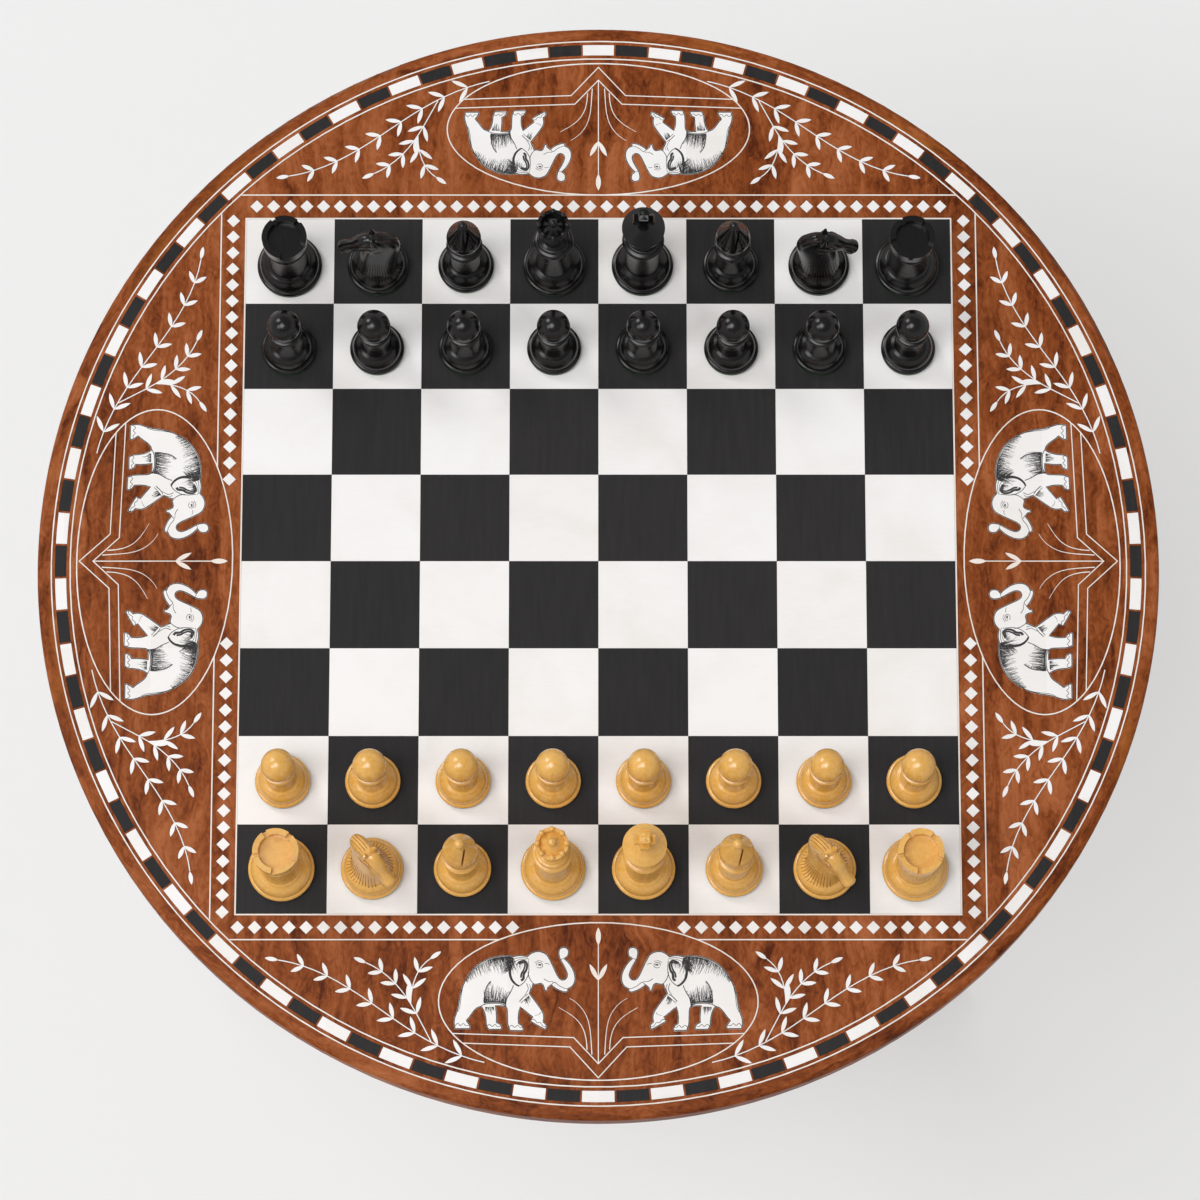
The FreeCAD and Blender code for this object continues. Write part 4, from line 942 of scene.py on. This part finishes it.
@dataclass
class KnightCarving:
    """Fan of lines, crest, eyes, brows and nostrils on one knight, drawn as low ridges in the painted groove
    colour; on boxwood they paint the shade of the carved grooves.
    """

    node: str
    facing: float
    material: bpy.types.Material
    slot: str
    disc_height: float = 0.5 * MM
    strands: int = 17
    strand_steps: int = 14
    fan_back: float = 165.0
    fan_spread: float = 140.0
    fan_start: float = 4.0 * MM
    fan_end: float = 12.6 * MM
    fan_height: float = 27.0 * MM
    fan_painted_groove_tone: Cut = Cut(0.35, 0.6, 0.3)
    neck_back: float = -1.0 * MM
    # The crest, the face and the eyes in mm
    crest_lines: tuple[float, ...] = (-2.4, -0.8, 0.8, 2.4)
    crest_start: float = -12.4
    crest_length: float = 11.6
    crest_steps: int = 12
    crest_painted_groove_tone: Cut = Cut(0.6, 0.6, 0.4)
    above: float = 90.0
    beside: float = 40.0
    face_steps: int = 4
    face_painted_groove_tone: Cut = Cut(0.7, 0.6, 0.4)
    eye: tuple[float, float] = (5.0, 50.4)
    eye_radii: tuple[float, float, float] = (1.3, 1.0, 0.6)

    def __post_init__(self) -> None:
        """Find the knight's surface and the axis that it stands on."""
        data = frame["nodes"][self.node].data
        points = [vertex.co for vertex in data.vertices]
        disc = [point for point in points if point.z < LEVEL + self.disc_height]
        low = Vector(min(point[axis] for point in disc) for axis in range(3))
        high = Vector(max(point[axis] for point in disc) for axis in range(3))
        middle = (low + high) / 2.0
        self.tree = BVHTree.FromPolygons(points, [tuple(face.vertices) for face in data.polygons])
        self.base = Vector((middle.x, middle.y, LEVEL))
        self.turn = Matrix.Rotation(math.radians(self.facing), 3, "Z")
        self.mesh = Mesh()

    def build(self) -> None:
        """Draw the knight's painted groove lines, as one piece that rides on it."""
        for side in (-1.0, 1.0):
            for strand in range(self.strands):
                self._strand(side, strand / (self.strands - 1.0))
            self._face(side)
        self._crest()
        # One piece of painted groove lines; on boxwood they paint the shade of the carved grooves
        self.mesh.piece(self.node + "_painted_groove_lines", self.material, self.node, self.slot)

    def _hit(self, start: Vector, aim: Vector) -> Union[VectorPair, None]:
        """Follow a line from outside to the knight.

        Args:
            start: Where it starts, from the knight's foot and in the knight's own directions.
            aim: Where it points.

        Returns:
            The place where it meets the knight and the surface's direction there, or None.
        """
        way = (self.turn @ (aim - start)).normalized()
        place, normal, _, _ = self.tree.ray_cast(self.base + self.turn @ start, way)
        if place is None or normal.dot(way) >= 0.0:
            return None
        return place, normal

    def _carve(self, rays: Sequence[VectorPair], cut: Cut) -> None:
        """Add one ridge where a row of lines meets the knight.

        Args:
            rays: Start and aim of each line.
            cut: Width and height of the ridge.
        """
        found = [got for got in (self._hit(start, aim) for start, aim in rays) if got is not None]
        if len(found) < 3:
            return
        last = len(found) - 1
        widths = []
        heights = []
        for index in range(last + 1):
            rise = cut.tip_share + cut.tip_slope * min(index, last - index) / last
            widths.append(MM * (cut.start + (cut.end - cut.start) * index / last))
            heights.append(MM * cut.height * min(1.0, rise))
        self.mesh.ridge([place for place, _ in found], [normal for _, normal in found], widths, heights)

    def _strand(self, side: float, share: float) -> None:
        """One painted groove line of the fan round the foot of the neck.

        Args:
            side: Left or right of the neck, as a sign.
            share: Place of the line in the fan, from the back at 0 to the breast at 1.
        """
        around = math.radians(side * (self.fan_back - self.fan_spread * share))
        way = Vector((math.cos(around), math.sin(around), 0.0))
        start = Vector((self.neck_back, 0.0, self.fan_height))
        rays = []
        for step in range(self.strand_steps):
            t = step / (self.strand_steps - 1.0)
            over = start + way * (self.fan_start + (self.fan_end - self.fan_start) * t)
            rays.append((over, over - UP * self.fan_height))
        self._carve(rays, self.fan_painted_groove_tone)

    def _crest(self) -> None:
        """Hair along the top of the neck, from the withers to the ears."""
        last = self.crest_steps - 1.0
        for y in self.crest_lines:
            along = [self.crest_start + self.crest_length * step / last for step in range(self.crest_steps)]
            rays = [(Vector((x, y, self.above)) * MM, Vector((x, y, 0.0)) * MM) for x in along]
            self._carve(rays, self.crest_painted_groove_tone)

    def _face(self, side: float) -> None:
        """Eye, brow, nostril, mouth and cheek on one side of the head, given as a sign."""
        off = Vector((0.0, side * self.beside, 0.0))
        for points in FACE_MARKS.values():
            line = curve_through([Vector((x, 0.0, z)) for x, z in points], self.face_steps)
            self._carve([((point + off) * MM, point * MM) for point in line], self.face_painted_groove_tone)
        eye = Vector((self.eye[0], 0.0, self.eye[1]))
        got = self._hit((eye + off) * MM, eye * MM)
        if got is not None:
            place, normal = got
            axes = normal.to_track_quat("Z", "Y").to_matrix()
            self.mesh.ball(place, axes, Vector(self.eye_radii) * MM)


@dataclass
class ChessMen:
    """The thirty-two men, and the way that each knight faces in degrees from x."""

    sharp_angle: float = 38.0
    knights: dict[str, float] = field(default_factory=lambda: {
        "black_knight_b": 180.0, "black_knight_g": 0.0, "white_knight_b": -50.0, "white_knight_g": -50.0})

    def build(self) -> None:
        """Give each man its wood and draw the painted groove lines on the knights."""
        for colour, finish in (("white", BOXWOOD), ("black", EBONISED)):
            men = [name for name in sorted(frame["bodies"]) if name.startswith(colour)]
            for name in men:
                self._smooth(frame["nodes"][name].data)
            knights = [name for name in men if name in self.knights]
            dress({finish: [name for name in men if name not in knights], finish.plain(): knights})
            # Painted groove colour for the knights' lines: painted shade on boxwood, a lighter brown on
            # ebonised wood
            cut = finish.carved().material()
            for name in knights:
                KnightCarving(name, self.knights[name], cut, finish.slot).build()

    def _smooth(self, mesh: bpy.types.Mesh) -> None:
        """Shade a man smooth except at its sharp edges."""
        packed = mesh.attributes.get("custom_normal")
        if packed is not None:
            mesh.attributes.remove(packed)
        mesh.shade_smooth()
        mesh.set_sharp_from_angle(angle=math.radians(self.sharp_angle))


@dataclass(frozen=True)
class Lamp:
    """A square soft lamp: its direction from the board, its distance in metres and its watts."""

    name: str
    way: tuple[float, float, float]
    distance: float
    power: float


@dataclass
class Studio:
    """Pale floor and backdrop, soft lamps and the camera over the board."""

    floor_half: float = 15.0
    floor_drop: float = 0.2 * MM
    wall_radius: float = 12.0
    wall_sides: int = 96
    wall_levels: tuple[float, float] = (-0.1, 9.0)
    paper: Colour = (0.88, 0.88, 0.88)
    tooth: Colour = (0.8, 0.8, 0.8)
    tooth_share: float = 0.03
    floor_glow: float = 0.4
    wall_glow: float = 0.7
    tilt: float = 13.0
    distance: float = 2.8
    lens: float = 154.8
    view_depth: float = 100.0
    aim: tuple[float, float] = (0.0009, -0.0217)
    ambient: float = 0.35
    lamp_width: float = 3.0
    lamps: tuple[Lamp, ...] = (
        Lamp("lamp_over", (-0.2, -0.18, 0.96), 7.0, 207.0),
        Lamp("lamp_far_left", (-0.56, 0.46, 0.69), 10.0, 231.0),
        Lamp("lamp_near_left", (-0.56, -0.27, 0.78), 10.0, 154.0),
    )

    def build(self) -> None:
        """Set up floor, backdrop, lamps, world and camera."""
        self._stage()
        self._world()
        for lamp in self.lamps:
            self._light(lamp)
        self._camera()

    def _paper(self, name: str, glow: float) -> bpy.types.Material:
        """Pale paper that shows the camera part of its own brightness.

        Args:
            name: Name of the material.
            glow: Share of its brightness that shadows don't reach.

        Returns:
            The material.
        """
        sheet = ShaderSheet(name)
        tooth = sheet.noise(sheet.place(), scale=300.0, detail=2.0)
        colour = sheet.mix(tooth * self.tooth_share, self.paper, self.tooth)
        diffuse = sheet.out(sheet.add("ShaderNodeBsdfDiffuse", {}, {"Color": colour}))
        light = sheet.out(sheet.add("ShaderNodeEmission", {}, {"Color": self.paper, "Strength": 1.0}))
        path = sheet.add("ShaderNodeLightPath", {}, {})
        seen = sheet.out(path, "Is Camera Ray") + sheet.out(path, "Is Glossy Ray")
        seen = seen + sheet.out(path, "Is Transmission Ray")
        share = sheet.maths("MINIMUM", seen, 1.0) * glow
        return sheet.close("ShaderNodeMixShader", {0: share, 1: diffuse, 2: light})

    def _stage(self) -> None:
        """Floor and round backdrop."""
        half = self.floor_half
        corners = [(-half, -half), (half, -half), (half, half), (-half, half)]
        floor = bpy.data.meshes.new("floor")
        floor.from_pydata([(x, y, -self.floor_drop) for x, y in corners], [], [(0, 1, 2, 3)])
        floor.materials.append(self._paper("floor_paper", self.floor_glow))
        count = self.wall_sides
        turns = [2.0 * math.pi * side / count for side in range(count)]
        ring = [(self.wall_radius * math.cos(turn), self.wall_radius * math.sin(turn)) for turn in turns]
        wall = bpy.data.meshes.new("backdrop")
        wall.from_pydata([(x, y, z) for z in self.wall_levels for x, y in ring], [],
                         [(side, (side + 1) % count, count + (side + 1) % count, count + side)
                          for side in range(count)])
        wall.materials.append(self._paper("backdrop_paper", self.wall_glow))
        for mesh in (floor, wall):
            made = bpy.data.objects.new(mesh.name, mesh)
            bpy.context.scene.collection.objects.link(made)

    def _world(self) -> None:
        """Even white light from all round."""
        world = bpy.data.worlds.new("studio")
        bpy.context.scene.world = world
        world.use_nodes = True
        background = world.node_tree.nodes["Background"]
        background.inputs["Color"].default_value = (1.0, 1.0, 1.0, 1.0)
        background.inputs["Strength"].default_value = self.ambient

    def _light(self, lamp: Lamp) -> None:
        """Hang one lamp and aim it at the board."""
        way = Vector(lamp.way).normalized()
        data = bpy.data.lights.new(lamp.name, "AREA")
        data.energy = lamp.power
        data.size = self.lamp_width
        made = bpy.data.objects.new(lamp.name, data)
        made.location = UP * LEVEL + way * lamp.distance
        made.rotation_euler = (-way).to_track_quat("-Z", "Y").to_euler()
        bpy.context.scene.collection.objects.link(made)

    def _camera(self) -> None:
        """Camera that looks down on the board from the near side."""
        data = bpy.data.cameras.new("camera")
        data.lens = self.lens
        data.clip_end = self.view_depth
        camera = bpy.data.objects.new("camera", data)
        lean = math.radians(self.tilt)
        target = Vector((*self.aim, LEVEL))
        camera.location = target + self.distance * Vector((0.0, -math.sin(lean), math.cos(lean)))
        camera.rotation_euler = (lean, 0.0, 0.0)
        bpy.context.scene.collection.objects.link(camera)
        bpy.context.scene.camera = camera


def main() -> None:
    """Build and dress every part of the table, then the studio round it."""
    logging.basicConfig(level=logging.INFO, format="%(name)s %(message)s")
    bpy.context.scene.view_settings.view_transform = "Standard"
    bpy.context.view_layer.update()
    for part in (TableTop(), Pedestal(), ChessMen(), Studio()):
        part.build()


if __name__ == "__main__":
    main()
